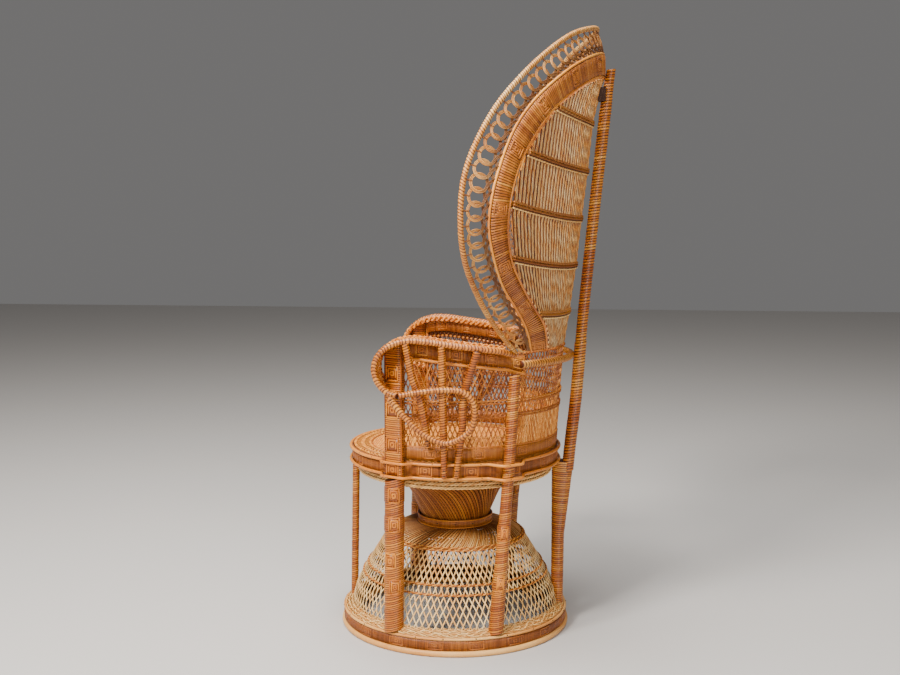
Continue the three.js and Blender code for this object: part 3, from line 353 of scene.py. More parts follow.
# strands along lines, with round sections; square below 1 gives them flatter sides, and
# lean slides the two edges of each section apart along the line, in metres
def sweep(lines, width, thickness=None, normals=None, sides=5, closed=False, square=1.0,
          lean=0.0, **values):
    lines = np.asarray(lines, float)
    lines = lines[None] if lines.ndim == 2 else lines
    if closed:
        tangents = unit(np.roll(lines, -1, 1) - np.roll(lines, 1, 1))
    else:
        tangents = unit(np.gradient(lines, axis=1))
    if normals is None:
        normals = carriedNormals(tangents)
    normals = np.broadcast_to(normals, lines.shape)
    normals = unit(normals - dot(normals, tangents) * tangents)
    across = np.cross(tangents, normals)
    thickness = width if thickness is None else thickness
    halves = [np.broadcast_to(shapeTo(size, 2), lines.shape[:2])[:, :, None, None] / 2
              for size in (width, thickness)]
    turns = cornerTurns(sides)
    ease = math.sqrt(2) if sides == 4 else 1
    swing = [np.sign(f(turns)) * np.abs(f(turns)) ** square * ease for f in (np.cos, np.sin)]
    swing = [s[None, None, :, None] for s in swing]
    leans = np.broadcast_to(shapeTo(lean, 2), lines.shape[:2])[:, :, None, None]
    rings = (lines[:, :, None] + across[:, :, None] * halves[0] * swing[0]
             + normals[:, :, None] * halves[1] * swing[1]
             + tangents[:, :, None] * leans * swing[0])
    return loft(rings, closed, **values)


# a line's own directions, and how many turns it has made at each point
def frameAlong(line, normals, pitch, closed):
    tangents = unit(np.roll(line, -1, 0) - np.roll(line, 1, 0) if closed
                    else np.gradient(line, axis=0))
    normals = unit(normals - dot(normals, tangents) * tangents)
    lengths = arcLengths(line)
    total = lengths[-1] + (np.linalg.norm(line[0] - line[-1]) if closed else 0)
    turns = max(1, round(total / pitch)) if closed else total / pitch
    return np.cross(tangents, normals), normals, fullTurn * turns * lengths / total


# strands that twist about a line
def twisted(line, normals, strands, spread, pitch, closed=False, start=0.0):
    across, normals, turned = frameAlong(line, normals, pitch, closed)
    angle = turned[None] + start + fullTurn * np.arange(strands)[:, None] / strands
    return (line[None] + spread * np.cos(angle)[..., None] * across[None]
            + spread * np.sin(angle)[..., None] * normals[None])


# a flat plait about a line
def plaited(line, normals, strands, width, height, pitch, closed=False):
    across, normals, turned = frameAlong(line, normals, pitch, closed)
    angle = turned[None] + fullTurn * np.arange(strands)[:, None] / strands
    return (line[None] + width / 2 * np.sin(angle)[..., None] * across[None]
            + height / 2 * np.sin(2 * angle)[..., None] * normals[None])


def someTones(count, low=0.25, high=0.85):
    return dice.uniform(low, high, count)


# painted shade towards a strand's back and flanks, where shade falls between strands, so that
# each one stands out from the next
def backShade(sides, amount=0.7):
    return amount * ((1 - np.sin(cornerTurns(sides))) / 2)[None, None] ** 1.5


# painted shade at the two edges of a flat strip, where it meets the next
def edgeShade(sides, amount=0.8):
    return amount * np.abs(np.cos(cornerTurns(sides)))[None, None] ** 3


def cornerTurns(sides):
    return (np.arange(sides) + (0.5 if sides == 4 else 0)) * fullTurn / sides


wrapping = {
    "pitch": 5.4 * mm, "uneven": 0.2, "jitter": 0.2 * mm, "lean": 0.12, "sides": 14,
    "zone": 20,  # about how many wraps keep one color
    "steps": [0.0, 0.17, 0.45, 0.83],  # places on one wrap, from joint to joint
    "sunk": [0.95 * mm, 0.12 * mm, -0.12 * mm, 0.12 * mm],
    # painted shade at each of those places, deepest in the joints
    "shade": [1.2, 0.75, 0.0, 0.45],
}


# a pole wound with cane peel: each wrap swells a little and is sunk at its edges, where painted
# shade darkens its joints and flanks
def wrapped(line, thickness, pitch=None, lean=None, sides=None, depth=None, normals=None,
            square=1.0, tones=(0.15, 0.9), ripple=1.0, drift=0.18):
    pitch = pitch or wrapping["pitch"]
    lean = wrapping["lean"] if lean is None else lean
    length = arcLengths(line)[-1]
    wraps = max(2, round(length / pitch))
    joints = np.arange(wraps + 1) + dice.uniform(-1, 1, wraps + 1) * wrapping["uneven"]
    joints[[0, -1]] = 0, wraps
    places = joints[:-1, None] + np.diff(joints)[:, None] * wrapping["steps"]
    places = np.append(places.reshape(-1), wraps) / wraps
    jitter = dice.uniform(-1, 1, wraps)[:, None] * wrapping["jitter"]
    swell = 2 * (jitter - ripple * np.array(wrapping["sunk"])).reshape(-1)
    swell = np.append(swell, -2 * ripple * wrapping["sunk"][0])
    shade = np.append(np.tile(wrapping["shade"], wraps), wrapping["shade"][0])
    tone = dice.uniform(*tones, wraps) + zoned(wraps, wrapping["zone"], drift)
    tone = np.append(np.repeat(tone, len(wrapping["steps"])), tone[-1])
    bare = thickness(places) if callable(thickness) else thickness + 0 * places
    deep = depth(places) if callable(depth) else depth
    return sweep(readLine(line, places * length), (bare + swell)[None],
                 None if depth is None else (deep + swell)[None], normals,
                 sides or wrapping["sides"], square=square, lean=(lean * bare)[None],
                 tone=tone[None], shade=shade[None])


# lengths of lighter and darker cane, one after another
def zoned(count, mean, spread):
    ends = np.cumsum(dice.integers(mean // 3, mean * 2, 2 + 3 * count // mean))
    levels = dice.uniform(-spread, spread, len(ends) + 1)
    return levels[np.searchsorted(ends, np.arange(count))]


# one mesh from closed parts, which rides on the body and stands in for the named nodes
def makePiece(name, parts, finish, nodes):
    offset, points, quads, caps, values = 0, [], [], [], [[], [], []]
    for part in parts:
        points.append(part["points"])
        quads.append(part["quads"] + offset)
        caps += [part["caps"] + offset] if len(part["caps"]) else []
        for kept, value in zip(values, part["values"]):
            kept.append(value)
        offset += len(part["points"])
    points, quads = np.vstack(points), np.vstack(quads)
    loops = np.concatenate([quads.reshape(-1), *[cap.reshape(-1) for cap in caps]])
    sizes = np.concatenate([np.full(len(quads), 4), *[np.full(len(c), c.shape[1]) for c in caps]])
    mesh = bpy.data.meshes.new(name)
    mesh.vertices.add(len(points))
    mesh.vertices.foreach_set("co", points.astype(np.float32).reshape(-1))
    mesh.loops.add(len(loops))
    mesh.loops.foreach_set("vertex_index", loops.astype(np.int32))
    mesh.polygons.add(len(sizes))
    starts = np.concatenate([[0], np.cumsum(sizes)[:-1]])
    mesh.polygons.foreach_set("loop_start", starts.astype(np.int32))
    mesh.polygons.foreach_set("loop_total", sizes.astype(np.int32))
    mesh.polygons.foreach_set("use_smooth", np.ones(len(sizes), bool))
    mesh.update(calc_edges=True)
    for key, value in zip(("tone", "shade", "along"), values):
        data = mesh.attributes.new(key, "FLOAT", "POINT").data
        data.foreach_set("value", np.concatenate(value).astype(np.float32))
    mesh.materials.append(paints[finish])
    piece = bpy.data.objects.new(name, mesh)
    bpy.context.collection.objects.link(piece)
    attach(piece, "root")
    if nodes:
        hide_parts(*nodes)
    return piece


def mirroredParts(parts):
    flipped = []
    for part in parts:
        points = part["points"] * [-1, 1, 1]
        flipped.append({**part, "points": points, "quads": part["quads"][:, ::-1],
                        "caps": part["caps"][:, ::-1]})
    return flipped


# the same piece on the sitter's left and, mirrored, on the right
def makePair(name, parts, finish, nodes):
    for side, made in (("left", parts), ("right", mirroredParts(parts))):
        makePiece(f"{name}_{side}", made, finish, [f"{node}_{side}" for node in nodes])


# surfaces: a place on each is two numbers and how far it stands out

def nodeBox(name):
    low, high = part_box(name)
    return np.array(low), np.array(high)


hoopLow, hoopHigh = nodeBox("floor_hoop")
chairY = (hoopLow[1] + hoopHigh[1]) / 2  # the round seat and base stand about this line


def around(radius, angle, height):
    radius, angle, height = np.broadcast_arrays(radius, angle, height)
    return np.stack([radius * np.cos(angle), chairY + radius * np.sin(angle), height], -1)


def standing(surface, u, v):
    return unit(surface(u, v, 1 * mm) - surface(u, v, 0.0))


def drumSurface(radius):
    def surface(angle, height, out):
        return around(radius + out, angle, height)
    return surface


# a surface turned from a profile, and where on it a height lies; v is the share of the
# way along the profile
def turnedSurface(radii, heights):
    profile = smoothCurve(np.stack([radii, heights, np.zeros(len(radii))], 1), 240)[:, :2]
    share = np.linspace(0, 1, len(profile))
    slope = unit(np.gradient(profile, axis=0))

    def surface(angle, v, out):
        radius, height, along, up = (np.interp(v, share, column) for column in
                                     (profile[:, 0], profile[:, 1], slope[:, 0], slope[:, 1]))
        return around(radius + out * up, angle, height - out * along)

    def shareAt(height):
        return np.interp(height, profile[:, 1], share)
    return surface, shareAt


# a closed thin skin over a surface, behind the strips that lie on it: a dark sheet of painted
# shade that shows between them
def skin(surface, us, vs, inner, outer, closed=False, tone=0.15, shade=0.7):
    us, vs = np.meshgrid(us, vs, indexing="ij")
    front, back = surface(us, vs, outer), surface(us, vs, inner)
    sections = np.concatenate([front, back[:, ::-1]], 1)
    if dot(np.cross(front[1, 0] - front[0, 0], front[0, 1] - front[0, 0]),
           front[0, 0] - back[0, 0])[0] < 0:
        sections = sections[:, ::-1]
    return loft(sections[None], closed, tone=tone, shade=shade)


stripForm = {
    "slants": (0.4, 1.6),  # of the slant asked for
    "drift": 0.14, "zone": 11,  # how far a tone drifts, and over how many strips
}


# strips across a band from edge to edge, with painted shade at their edges unless a shade is
# given
def strips(surface, us, low, high, width, thickness=1.1 * mm, out=0.6 * mm, slant=0.0, steps=3,
           tones=(0.3, 0.8), sides=6, shade=None, bow=0.0):
    us = np.asarray(us, float)
    share = np.linspace(0, 1, steps)
    if shade is None:
        shade = edgeShade(sides)
    tilt = slant * dice.uniform(*stripForm["slants"], len(us))
    u = us[:, None] + tilt[:, None] * (share[None] - 0.5)
    low, high = (np.broadcast_to(shapeTo(edge, 2), (len(us), 1)) for edge in (low, high))
    v = low + (high - low) * share[None]
    lift = out + bow * np.sin(math.pi * share)[None]
    lines = surface(u, v, lift + 0 * u)
    zone, most = stripForm["zone"], stripForm["drift"]
    stops = np.arange(0, len(us) + zone + 1, zone)
    drift = np.interp(np.arange(len(us)), stops, dice.uniform(-most, most, len(stops)))
    tone = dice.uniform(*tones, len(us)) + drift
    return sweep(lines, width, thickness, standing(surface, u, v), sides, tone=tone, shade=shade)


keySideShares = (0.03, 0.35, 0.65, 0.97)  # places on a square's side, short of its corners


# nested squares of thin strips on a ground of painted shade, as woven into the bands and the
# wraps
def keyPatch(surface, u, v, uHalf, vHalf, rings=3, width=3.4 * mm, out=1.3 * mm,
             thickness=1.3 * mm, tones=(0.55, 1.0), dark=0.85):
    made = [skin(surface, np.linspace(u - uHalf, u + uHalf, 6), [v - vHalf, v + vHalf],
                 out - thickness, out - thickness * 0.3, tone=0.1, shade=dark)]
    for ring in range(rings):
        scale = (ring + 0.75) / rings
        corners = np.array([[-1, -1], [1, -1], [1, 1], [-1, 1], [-1, -1]]) * scale
        if ring % 2:
            corners = corners[[1, 2, 3, 0]]  # every other square is open at one side
        line = []
        for start, end in zip(corners[:-1], corners[1:]):
            line += [start + (end - start) * share for share in keySideShares]
        line = np.array(line)
        us, vs = u + line[:, 0] * uHalf, v + line[:, 1] * vHalf
        made.append(sweep(surface(us, vs, out + 0 * us), width, thickness,
                          standing(surface, us, vs)[None], 6, tone=dice.uniform(*tones),
                          shade=edgeShade(6, 0.5)))
    return made


nailShares = ((-0.6, 1.0), (0.35, 1.0), (0.8, 0.72), (1.0, 0.25))  # height, width


# a small domed head, sunk a little
def nail(place, normal, radius=1.7 * mm, height=1.1 * mm):
    place, normal = np.asarray(place, float), unit(np.asarray(normal, float))
    heights, widths = np.array(nailShares).T
    widths = widths * radius * 2
    line = place[None] + normal[None] * (heights * height)[:, None]
    return sweep(line, widths[None], sides=8)


def nails(places, normals):
    return [nail(place, normal) for place, normal in zip(places, normals)]


# a flat band of upright strips round a drum, on a backing of painted shade, with key patches on
# it
def roundBand(form):
    low, high, radius = form["low"], form["high"], form["radius"]
    band = drumSurface(radius - form["inset"])
    turns = np.linspace(0, fullTurn, form["skinSteps"], endpoint=False)
    us = evenTurns(round(fullTurn * radius / form["stripStep"]))
    parts = [skin(band, turns, [low - form["tuck"], high], -form["skin"], 0, closed=True),
             strips(band, us, low, high, form["strip"], slant=form["slant"],
                    tones=form["tones"])]
    for degrees in form["patchDegrees"]:
        parts += keyPatch(band, math.radians(degrees), (low + high) / 2,
                          form["patchHalf"][0] / radius, form["patchHalf"][1],
                          width=form["patchStrip"], tones=form["patchTones"],
                          dark=form["patchGround"])
    return parts


ringSteps = 720  # points round a plaited or twisted hoop


def evenTurns(count):
    return np.arange(count) * fullTurn / count


# a tone that comes and goes round a hoop: its middle, its swing and how many times
def waveTone(angles, middle, swing, waves, phase=0.0):
    return (middle + swing * np.sin(waves * angles + phase))[None]


# straight out from the chair's middle, tilted up
def outwards(angles, tilt=0.0):
    return unit(around(1.0, angles, tilt) - [0, chairY, 0])


# the chair's own lines, in the same shares as its solids

skirtForm = {
    "radii": [0.2688, 0.2573, 0.2301, 0.2019, 0.1761, 0.1298, 0.0998],
    "heights": [0.0583, 0.1018, 0.1521, 0.1993, 0.2363, 0.2608, 0.2653],
    "rows": {"low": 0.1363, "middle": 0.1573, "high": 0.2343},
}
coneForm = {
    "radii": [0.0855, 0.0870, 0.0965, 0.1230, 0.1500, 0.1850, 0.2275],
    "heights": [0.2656, 0.2817, 0.3050, 0.3605, 0.3853, 0.4028, 0.4116],
}
wallForm = {
    "radius": 0.262, "low": 0.4749, "height": 0.265, "lean": 0.020,
    "frontAngle": math.radians(-23.5), "lowerBand": (0.4789, 0.5109), "rows": (0.582, 0.616),
}
armForm = {
    "across": 0.300, "back": 0.168, "length": 0.332, "crown": 0.773, "drop": 0.131,
    "pole": 0.015, "bandHeight": 0.039, "innerBandHeight": 0.030, "sheetInner": 0.254,
    "underPole": 4.9 * mm,  # from the pole's middle down to the bands' tops
    "postDegrees": -26.2, "levelPoints": 7,  # points of the pole before its curl
}
armPoleShares = [
    [0.8164, 0, 0.29], [0.907, 0.084, 0.206], [0.973, 0.233, 0.143], [1, 0.482, 0.06],
    [1, 0.666, 0], [1, 0.79, 0.008], [1, 0.911, 0.126], [1, 0.978, 0.312], [1, 1, 0.53],
    [1, 0.973, 0.767], [1, 0.902, 0.947], [1, 0.83, 1],
]
armLoopShares = [  # millimetres out from the pole, then along and down
    [9, 0.666, 0.916], [10, 0.5, 0.87], [10, 0.359, 0.9], [10, 0.287, 1.06],
    [10, 0.273, 1.298], [10, 0.301, 1.572], [10, 0.387, 1.76], [10.6, 0.48, 1.84],
    [11.8, 0.573, 1.771], [13.6, 0.681, 1.595], [16, 0.774, 1.359], [16, 0.846, 1.141],
    [16, 0.882, 1.03],
]
strutShares = [
    [[0.993, 0.776, 0.03], [0.973, 0.723, 0.718], [0.955, 0.672, 1.084], [0.925, 0.63, 1.687],
     [0.907, 0.62, 1.985]],
    [[0.993, 0.514, 0.06], [0.965, 0.507, 1.32], [0.94, 0.5, 2.53]],
    [[0.993, 0.257, 0.15], [0.97, 0.307, 0.534], [0.955, 0.342, 0.809], [0.948, 0.363, 1.122],
     [0.94, 0.37, 1.6], [0.933, 0.39, 1.97], [0.928, 0.415, 2.53]],
]
fanForm = {"halfWidth": 0.520, "height": 0.782, "depth": 0.295, "foot": 0.742, "front": 0.063,
           "pole": 0.015, "cane": 0.008}
rimShares = [
    [0.471, 0.356, 0], [0.55, 0.275, 0.049], [0.646, 0.197, 0.101], [0.777, 0.112, 0.175],
    [0.933, 0.024, 0.289], [0.998, 0, 0.394], [0.977, 0.027, 0.535], [0.873, 0.197, 0.696],
    [0.704, 0.444, 0.827], [0.413, 0.756, 0.948], [0.2, 0.93, 0.988], [0, 0.99, 1],
]
bandOuterShares = [
    [0.394, 0.478, 0.003], [0.471, 0.464, 0.049], [0.558, 0.431, 0.097], [0.665, 0.37, 0.152],
    [0.779, 0.288, 0.216], [0.881, 0.231, 0.297], [0.942, 0.2, 0.387], [0.948, 0.22, 0.47],
    [0.912, 0.275, 0.558], [0.837, 0.363, 0.655], [0.723, 0.502, 0.743], [0.519, 0.76, 0.844],
    [0.25, 0.97, 0.905], [0, 1.05, 0.922],
]
bandInnerShares = [
    [0.317, 0.6, 0], [0.4, 0.6, 0.049], [0.485, 0.58, 0.093], [0.602, 0.498, 0.155],
    [0.731, 0.42, 0.223], [0.833, 0.353, 0.298], [0.888, 0.332, 0.387], [0.892, 0.349, 0.458],
    [0.852, 0.403, 0.55], [0.767, 0.505, 0.638], [0.606, 0.671, 0.734], [0.404, 0.864, 0.804],
    [0.208, 1, 0.84], [0, 1.055, 0.849],
]
spineLineShares = [  # the middle of the woven back: back, up
    [0.739, 0], [0.78, 0.105], [0.834, 0.254], [0.875, 0.405], [0.922, 0.556], [0.96, 0.707],
    [1.04, 0.842],
]
spineForm = {"thickness": 0.030, "tip": 0.022, "foot": 0.206, "height": 1.222, "place": 0.280,
             "lean": 0.112}
spineShares = [
    [0, 0], [0.045, 0.064], [0.17, 0.208], [0.295, 0.315], [0.438, 0.491], [0.58, 0.633],
    [0.76, 0.804], [0.93, 0.955], [1, 1],
]

skirtSurface, skirtShare = turnedSurface(skirtForm["radii"], skirtForm["heights"])
coneSurface, _ = turnedSurface(coneForm["radii"], coneForm["heights"])


def wallSurface(angle, height, out):
    points = around(wallForm["radius"] + out, angle, height)
    lean = wallForm["lean"] * (height - wallForm["low"]) / wallForm["height"]
    points[..., 1] += lean * np.maximum(0, np.sin(angle)) ** 2
    return points


def armPoint(shares):
    across, along, down = np.asarray(shares, float).T
    return np.stack([armForm["across"] * across,
                     chairY + armForm["back"] - armForm["length"] * along,
                     armForm["crown"] - armForm["drop"] * down], -1)


armPoleLine = smoothCurve(armPoint(armPoleShares))


# the arm pole's height, up to where its curl starts
def armHeightAt(y):
    front = armPoint(armPoleShares)[:armForm["levelPoints"]][::-1]
    return np.interp(y, front[:, 1], front[:, 2])


def armBandLow(angle):
    y = around(wallForm["radius"], angle, 0)[..., 1]
    return armHeightAt(y) - armForm["underPole"] - armForm["bandHeight"]


def armUnder(angle):
    y = around(wallForm["radius"], angle, 0)[..., 1]
    back = armPoint(armPoleShares)[1][1]
    return np.where(y > back, wallForm["low"] + wallForm["height"],
                    armHeightAt(y) - armForm["underPole"])


def fanLine(shares, count=1201):
    across, back, up = np.asarray(shares, float).T
    left = np.stack([fanForm["halfWidth"] * across, chairY + fanForm["front"]
                     + fanForm["depth"] * back, fanForm["foot"] + fanForm["height"] * up], -1)
    right = left[-2::-1] * [-1, 1, 1]
    return smoothCurve(np.vstack([left, right]), count)


rimLine = fanLine(rimShares)
bandOuterLine = fanLine(bandOuterShares)
bandInnerLine = fanLine(bandInnerShares)


# the second line, read where it lies square across from each place on the first
def squareTo(first, second):
    share = np.linspace(0, 1, len(first))
    gaps = np.linalg.norm(first[:, None] - second[None], axis=-1)
    there = share[gaps.argmin(1)]
    back = np.interp(share, np.maximum.accumulate(share[gaps.argmin(0)]), share)
    window, fade = 61, 0.05  # points that the match is averaged over, and share at each end
    padded = np.pad((there + back) / 2, window // 2, "edge")
    match = np.convolve(padded, np.ones(window) / window, "valid")
    ends = np.clip(np.minimum(share, 1 - share) / fade, 0, 1)
    match = np.maximum.accumulate(share + (match - share) * ends)
    return np.stack([np.interp(match, share, second[:, k]) for k in range(3)], -1)


# a ribbon between two lines; u and v are shares along and across, and out is to the front
def ribbonSurface(outerLine, innerLine):
    share = np.linspace(0, 1, len(outerLine))
    across = unit(innerLine - outerLine)
    face = unit(np.cross(np.gradient(outerLine, axis=0), across))

    def surface(u, v, out):
        u, v, out = np.broadcast_arrays(u, v, out)
        outer, inner, front = (np.stack([np.interp(u, share, line[:, k]) for k in range(3)], -1)
                               for line in (outerLine, innerLine, face))
        return outer + (inner - outer) * v[..., None] + unit(front) * out[..., None]
    return surface


laceFootLine = squareTo(rimLine, bandOuterLine)
laceSurface = ribbonSurface(rimLine, laceFootLine)
rimBandSurface = ribbonSurface(bandOuterLine, squareTo(bandOuterLine, bandInnerLine))


def spineLine():
    lean, up = np.asarray(spineShares, float).T
    points = np.stack([0 * lean, chairY + spineForm["place"] + spineForm["lean"] * lean,
                       spineForm["foot"] + spineForm["height"] * up], -1)
    return smoothCurve(points)


makeCamera()
makeStudio()
paints = {name: makeFinish(name) for name in finishes}
paints["nail"] = makeNailFinish()
nailHeads = []
print("camera, studio and finishes made")


# base

baseForm = {
    "hoop": 0.291, "hoopThickness": 0.015, "cane": 0.007, "caneHeight": 0.0441,
    "nailStep": 0.080, "nailRise": 1.5 * mm, "nailReach": 0.42,  # of the cane, from its middle
    "nailTilt": 0.3, "hoopTone": (0.4, 0.15, 3), "caneTone": (0.3, 0.2, 5),
}
baseBand = {
    "radius": 0.2925, "low": 0.0156, "high": 0.0400, "inset": 0.6 * mm, "skin": 2.0 * mm,
    "skinSteps": 240, "tuck": 0, "strip": 2.6 * mm, "stripStep": 2.9 * mm, "slant": 0.004,
    "tones": (0.0, 0.6), "patchDegrees": range(-4, 356, 20), "patchHalf": (20 * mm, 9.5 * mm),
    "patchStrip": 2.5 * mm, "patchTones": (0.3, 0.7), "patchGround": 0.6,
}


def makeBase():
    form = baseForm
    angles = evenTurns(240)
    hoop = sweep(around(form["hoop"], angles, form["hoopThickness"] / 2), form["hoopThickness"],
                 sides=12, closed=True, tone=waveTone(angles, *form["hoopTone"]))
    makePiece("floor_hoop_cane", [hoop], "cane", ["floor_hoop"])
    makePiece("base_band_strips", roundBand(baseBand), "band", ["base_band"])

    cane = sweep(around(form["hoop"], angles, form["caneHeight"]), form["cane"], sides=8,
                 closed=True, tone=waveTone(angles, *form["caneTone"]))
    makePiece("base_top_cane_round", [cane], "cane", ["base_top_cane"])
    studs = np.arange(0, fullTurn, form["nailStep"] / form["hoop"])
    places = around(form["hoop"] + form["cane"] * form["nailReach"], studs,
                    form["caneHeight"] + form["nailRise"])
    nailHeads.extend(nails(places, outwards(studs, form["nailTilt"])))


# the braid leans in from the cane to the foot of the skirt, over a sheet of painted shade
braidForm = {
    "low": (0.2855, 0.0475), "high": (0.2655, 0.0575),  # radius and height of its two edges
    "plaits": ((0.12, 0.062), (0.5, 0.07), (0.88, 0.058)),  # place between them, pitch
    "layers": (-1.5 * mm, 1.5 * mm), "layerOut": 0.3, "width": 8.5 * mm, "height": 3.6 * mm,
    "cane": 3.1 * mm, "back": (-9 * mm, -2.4 * mm), "tones": (0.2, 0.9),
}


def braidSurface(angle, v, out):
    low, high = np.array(braidForm["low"]), np.array(braidForm["high"])
    slope = (high - low) / np.linalg.norm(high - low)
    radius = low[0] + (high[0] - low[0]) * v + out * slope[1]
    height = low[1] + (high[1] - low[1]) * v - out * slope[0]
    return around(radius, angle, height)


def makeBaseBraid():
    form = braidForm
    angles = evenTurns(ringSteps)
    parts = [skin(braidSurface, angles[::3], [0, 1], *form["back"], closed=True)]
    for v, pitch in form["plaits"]:
        line = braidSurface(angles, v, 0.0)
        normals = standing(braidSurface, angles, v + 0 * angles)
        for shift in form["layers"]:
            lines = plaited(line + normals * shift * form["layerOut"], normals, 3,
                            form["width"], form["height"], pitch, closed=True)
            lines[..., 2] += shift
            parts.append(sweep(lines, form["cane"], normals=normals, sides=6, closed=True,
                               shade=backShade(6, 1.0), tone=someTones(3, *form["tones"])))
    makePiece("base_braid_canes", parts, "cane", ["base_braid"])


# skirt, waist and cone

latticeForm = {
    "strands": 98, "cane": 3.8 * mm, "waistCane": 3.4 * mm, "flatness": 0.72, "swirl": 0.30,
    "stray": 0.0014,  # radians that one strand lies off its place
    "lift": 1.2 * mm,  # over and under the strands that it crosses
    "crossings": {"low": 4.7, "middle": 5.9, "high": 12.0},  # counted up from the foot
    "highShare": 1.15,  # how much wider the canes are at the high row
    # the strands' tone is lowered upwards as painted shade, deepest at the waist under the seat
    "tones": (0.5, 1.1), "browner": (0, 0.35, 0.75),  # at the middle and high row, the waist
    # painted shade on the backs and flanks of the strands
    "backShadeAmount": 1.4, "nearFoot": 0.04,
    "fade": (0.3, 0, 0.1, 0.5),  # shade at the foot, near it, at the high row and the waist
    "rowCane": 3.3 * mm, "rowPitch": 0.021, "rowSpread": 1.6 * mm, "rowOut": 1.9 * mm,
    "rowRopes": {"low": (0.0,), "middle": (0.0,), "high": (-3.2 * mm, 3.2 * mm)},
    "rowTurn": 400,  # radians that a rope starts on for each metre it lies off its row
    "profile": 0.27,  # metres from foot to waist, near enough
    "rowTones": (0.2, 0.9),
    "innerCane": 9 * mm, "innerDepth": 5.4 * mm, "innerSwirl": 2.2, "innerFlatness": 0.4,
    "innerTones": (0, 0.4),
    "shadeSheetFrom": 0.9, "shadeSheet": (-8 * mm, -7 * mm),
}


def makeSkirt():
    form = latticeForm
    count, step = form["strands"], fullTurn / form["strands"]
    v = np.linspace(0.0, 1.0, 150)
    rows = [float(skirtShare(height)) for height in skirtForm["rows"].values()]
    crossings = np.interp(v, [0, *rows], [0, *form["crossings"].values()])
    swirl = np.interp(v, [0, rows[2], 1], [0, 0, form["swirl"]])
    width = np.interp(v, [0, rows[2], 1],
                      [form["cane"], form["cane"] * form["highShare"], form["waistCane"]])
    fade = np.interp(v, [0, form["nearFoot"], rows[2], 1], form["fade"])[None, :, None]
    waistShade = np.interp(v, [rows[1], rows[2], 1], form["browner"])[None]
    parts = []
    for way in (1, -1):
        u = (np.arange(count)[:, None] + 0.25 * (1 + way)) * step
        u = u + way * crossings[None] * step / 2 + swirl[None]
        u = u + dice.normal(0, form["stray"], (count, 1))
        lift = form["lift"] * (way * np.cos(math.pi * crossings) - 1)
        lines = skirtSurface(u, v[None] + 0 * u, lift[None] + 0 * u)
        normals = standing(skirtSurface, u, v[None] + 0 * u)
        tone = someTones(count, *form["tones"])[:, None] - waistShade
        parts.append(sweep(lines, width[None], width[None] * form["flatness"], normals, 6,
                           tone=tone, shade=backShade(6, form["backShadeAmount"]) + fade))
    makePiece("skirt_lattice", parts, "cane", ["skirt_weave"])
    makeSkirtLining(rows[2])
    makeSkirtRows()


# above the high row a darker layer lies close inside, and leans the other way; its strands carry
# painted shade, and near the waist a closed sheet of painted shade lies behind them
def makeSkirtLining(highRow):
    form = latticeForm
    count = form["strands"]
    v = np.linspace(highRow, 1.0, 40)
    swirl = form["swirl"] * form["innerSwirl"] * (v - highRow)
    u = evenTurns(count)[:, None] - swirl[None]
    lines = skirtSurface(u, v[None] + 0 * u, 0 * u - form["innerDepth"])
    normals = standing(skirtSurface, u, v[None] + 0 * u)
    wide = np.interp(v, [highRow, 1], [form["innerCane"], form["waistCane"]])[None]
    inner = sweep(lines, wide, wide * form["innerFlatness"], normals, 6,
                  tone=someTones(count, *form["innerTones"]), shade=backShade(6, 0.8) + 0.3)
    shadeSheet = skin(skirtSurface, evenTurns(180), np.linspace(form["shadeSheetFrom"], 1, 5),
                  *form["shadeSheet"], closed=True, shade=0.95)
    makePiece("skirt_inner_strands", [inner, shadeSheet], "weave", [])


def makeSkirtRows():
    form = latticeForm
    angles = evenTurns(1000)
    for place, height in skirtForm["rows"].items():
        parts = []
        for offset in form["rowRopes"][place]:
            share = skirtShare(height) + offset / form["profile"]
            line = skirtSurface(angles, share + 0 * angles, form["rowOut"])
            normals = standing(skirtSurface, angles, share + 0 * angles)
            lines = twisted(line, normals, 2, form["rowSpread"], form["rowPitch"], closed=True,
                            start=offset * form["rowTurn"])
            parts.append(sweep(lines, form["rowCane"], normals=normals, sides=6, closed=True,
                               tone=np.array(form["rowTones"])[:, None],
                               shade=backShade(6, 0.8)))
        makePiece(f"skirt_twining_{place}", parts, "weave", [f"skirt_row_{place}"])


waistBand = {
    "radius": 0.0972, "low": 0.2660, "high": 0.2876, "inset": 0.5 * mm, "skin": 2.2 * mm,
    # the backing is painted shade, and it reaches far enough down that nothing light shows
    # through under the band
    "skinSteps": 120, "tuck": 7 * mm,  # the backing reaches down behind the skirt's strands
    "strip": 2.5 * mm, "stripStep": 2.7 * mm, "slant": 0.01, "tones": (0.3, 0.8),
    "patchDegrees": (), "edgeCane": 3.2 * mm, "edgeOut": 0.6 * mm, "edgeTone": 0.9,
    "nails": 13, "nailOut": 0.7 * mm, "nailTurn": 0.1,
}


def makeWaist():
    form = waistBand
    low, high, middle = form["low"], form["high"], (form["low"] + form["high"]) / 2
    parts = roundBand(form)
    for height in (low + form["edgeCane"] / 2, high - form["edgeCane"] / 2):
        edge = around(form["radius"] + form["edgeOut"], evenTurns(120), height)
        parts.append(sweep(edge, form["edgeCane"], sides=6, closed=True,
                           tone=form["edgeTone"]))
    makePiece("waist_band_strips", parts, "band", ["waist_band"])
    studs = evenTurns(form["nails"]) + form["nailTurn"]
    places = around(form["radius"] + form["nailOut"], studs, middle)
    nailHeads.extend(nails(places, places - [0, chairY, middle]))


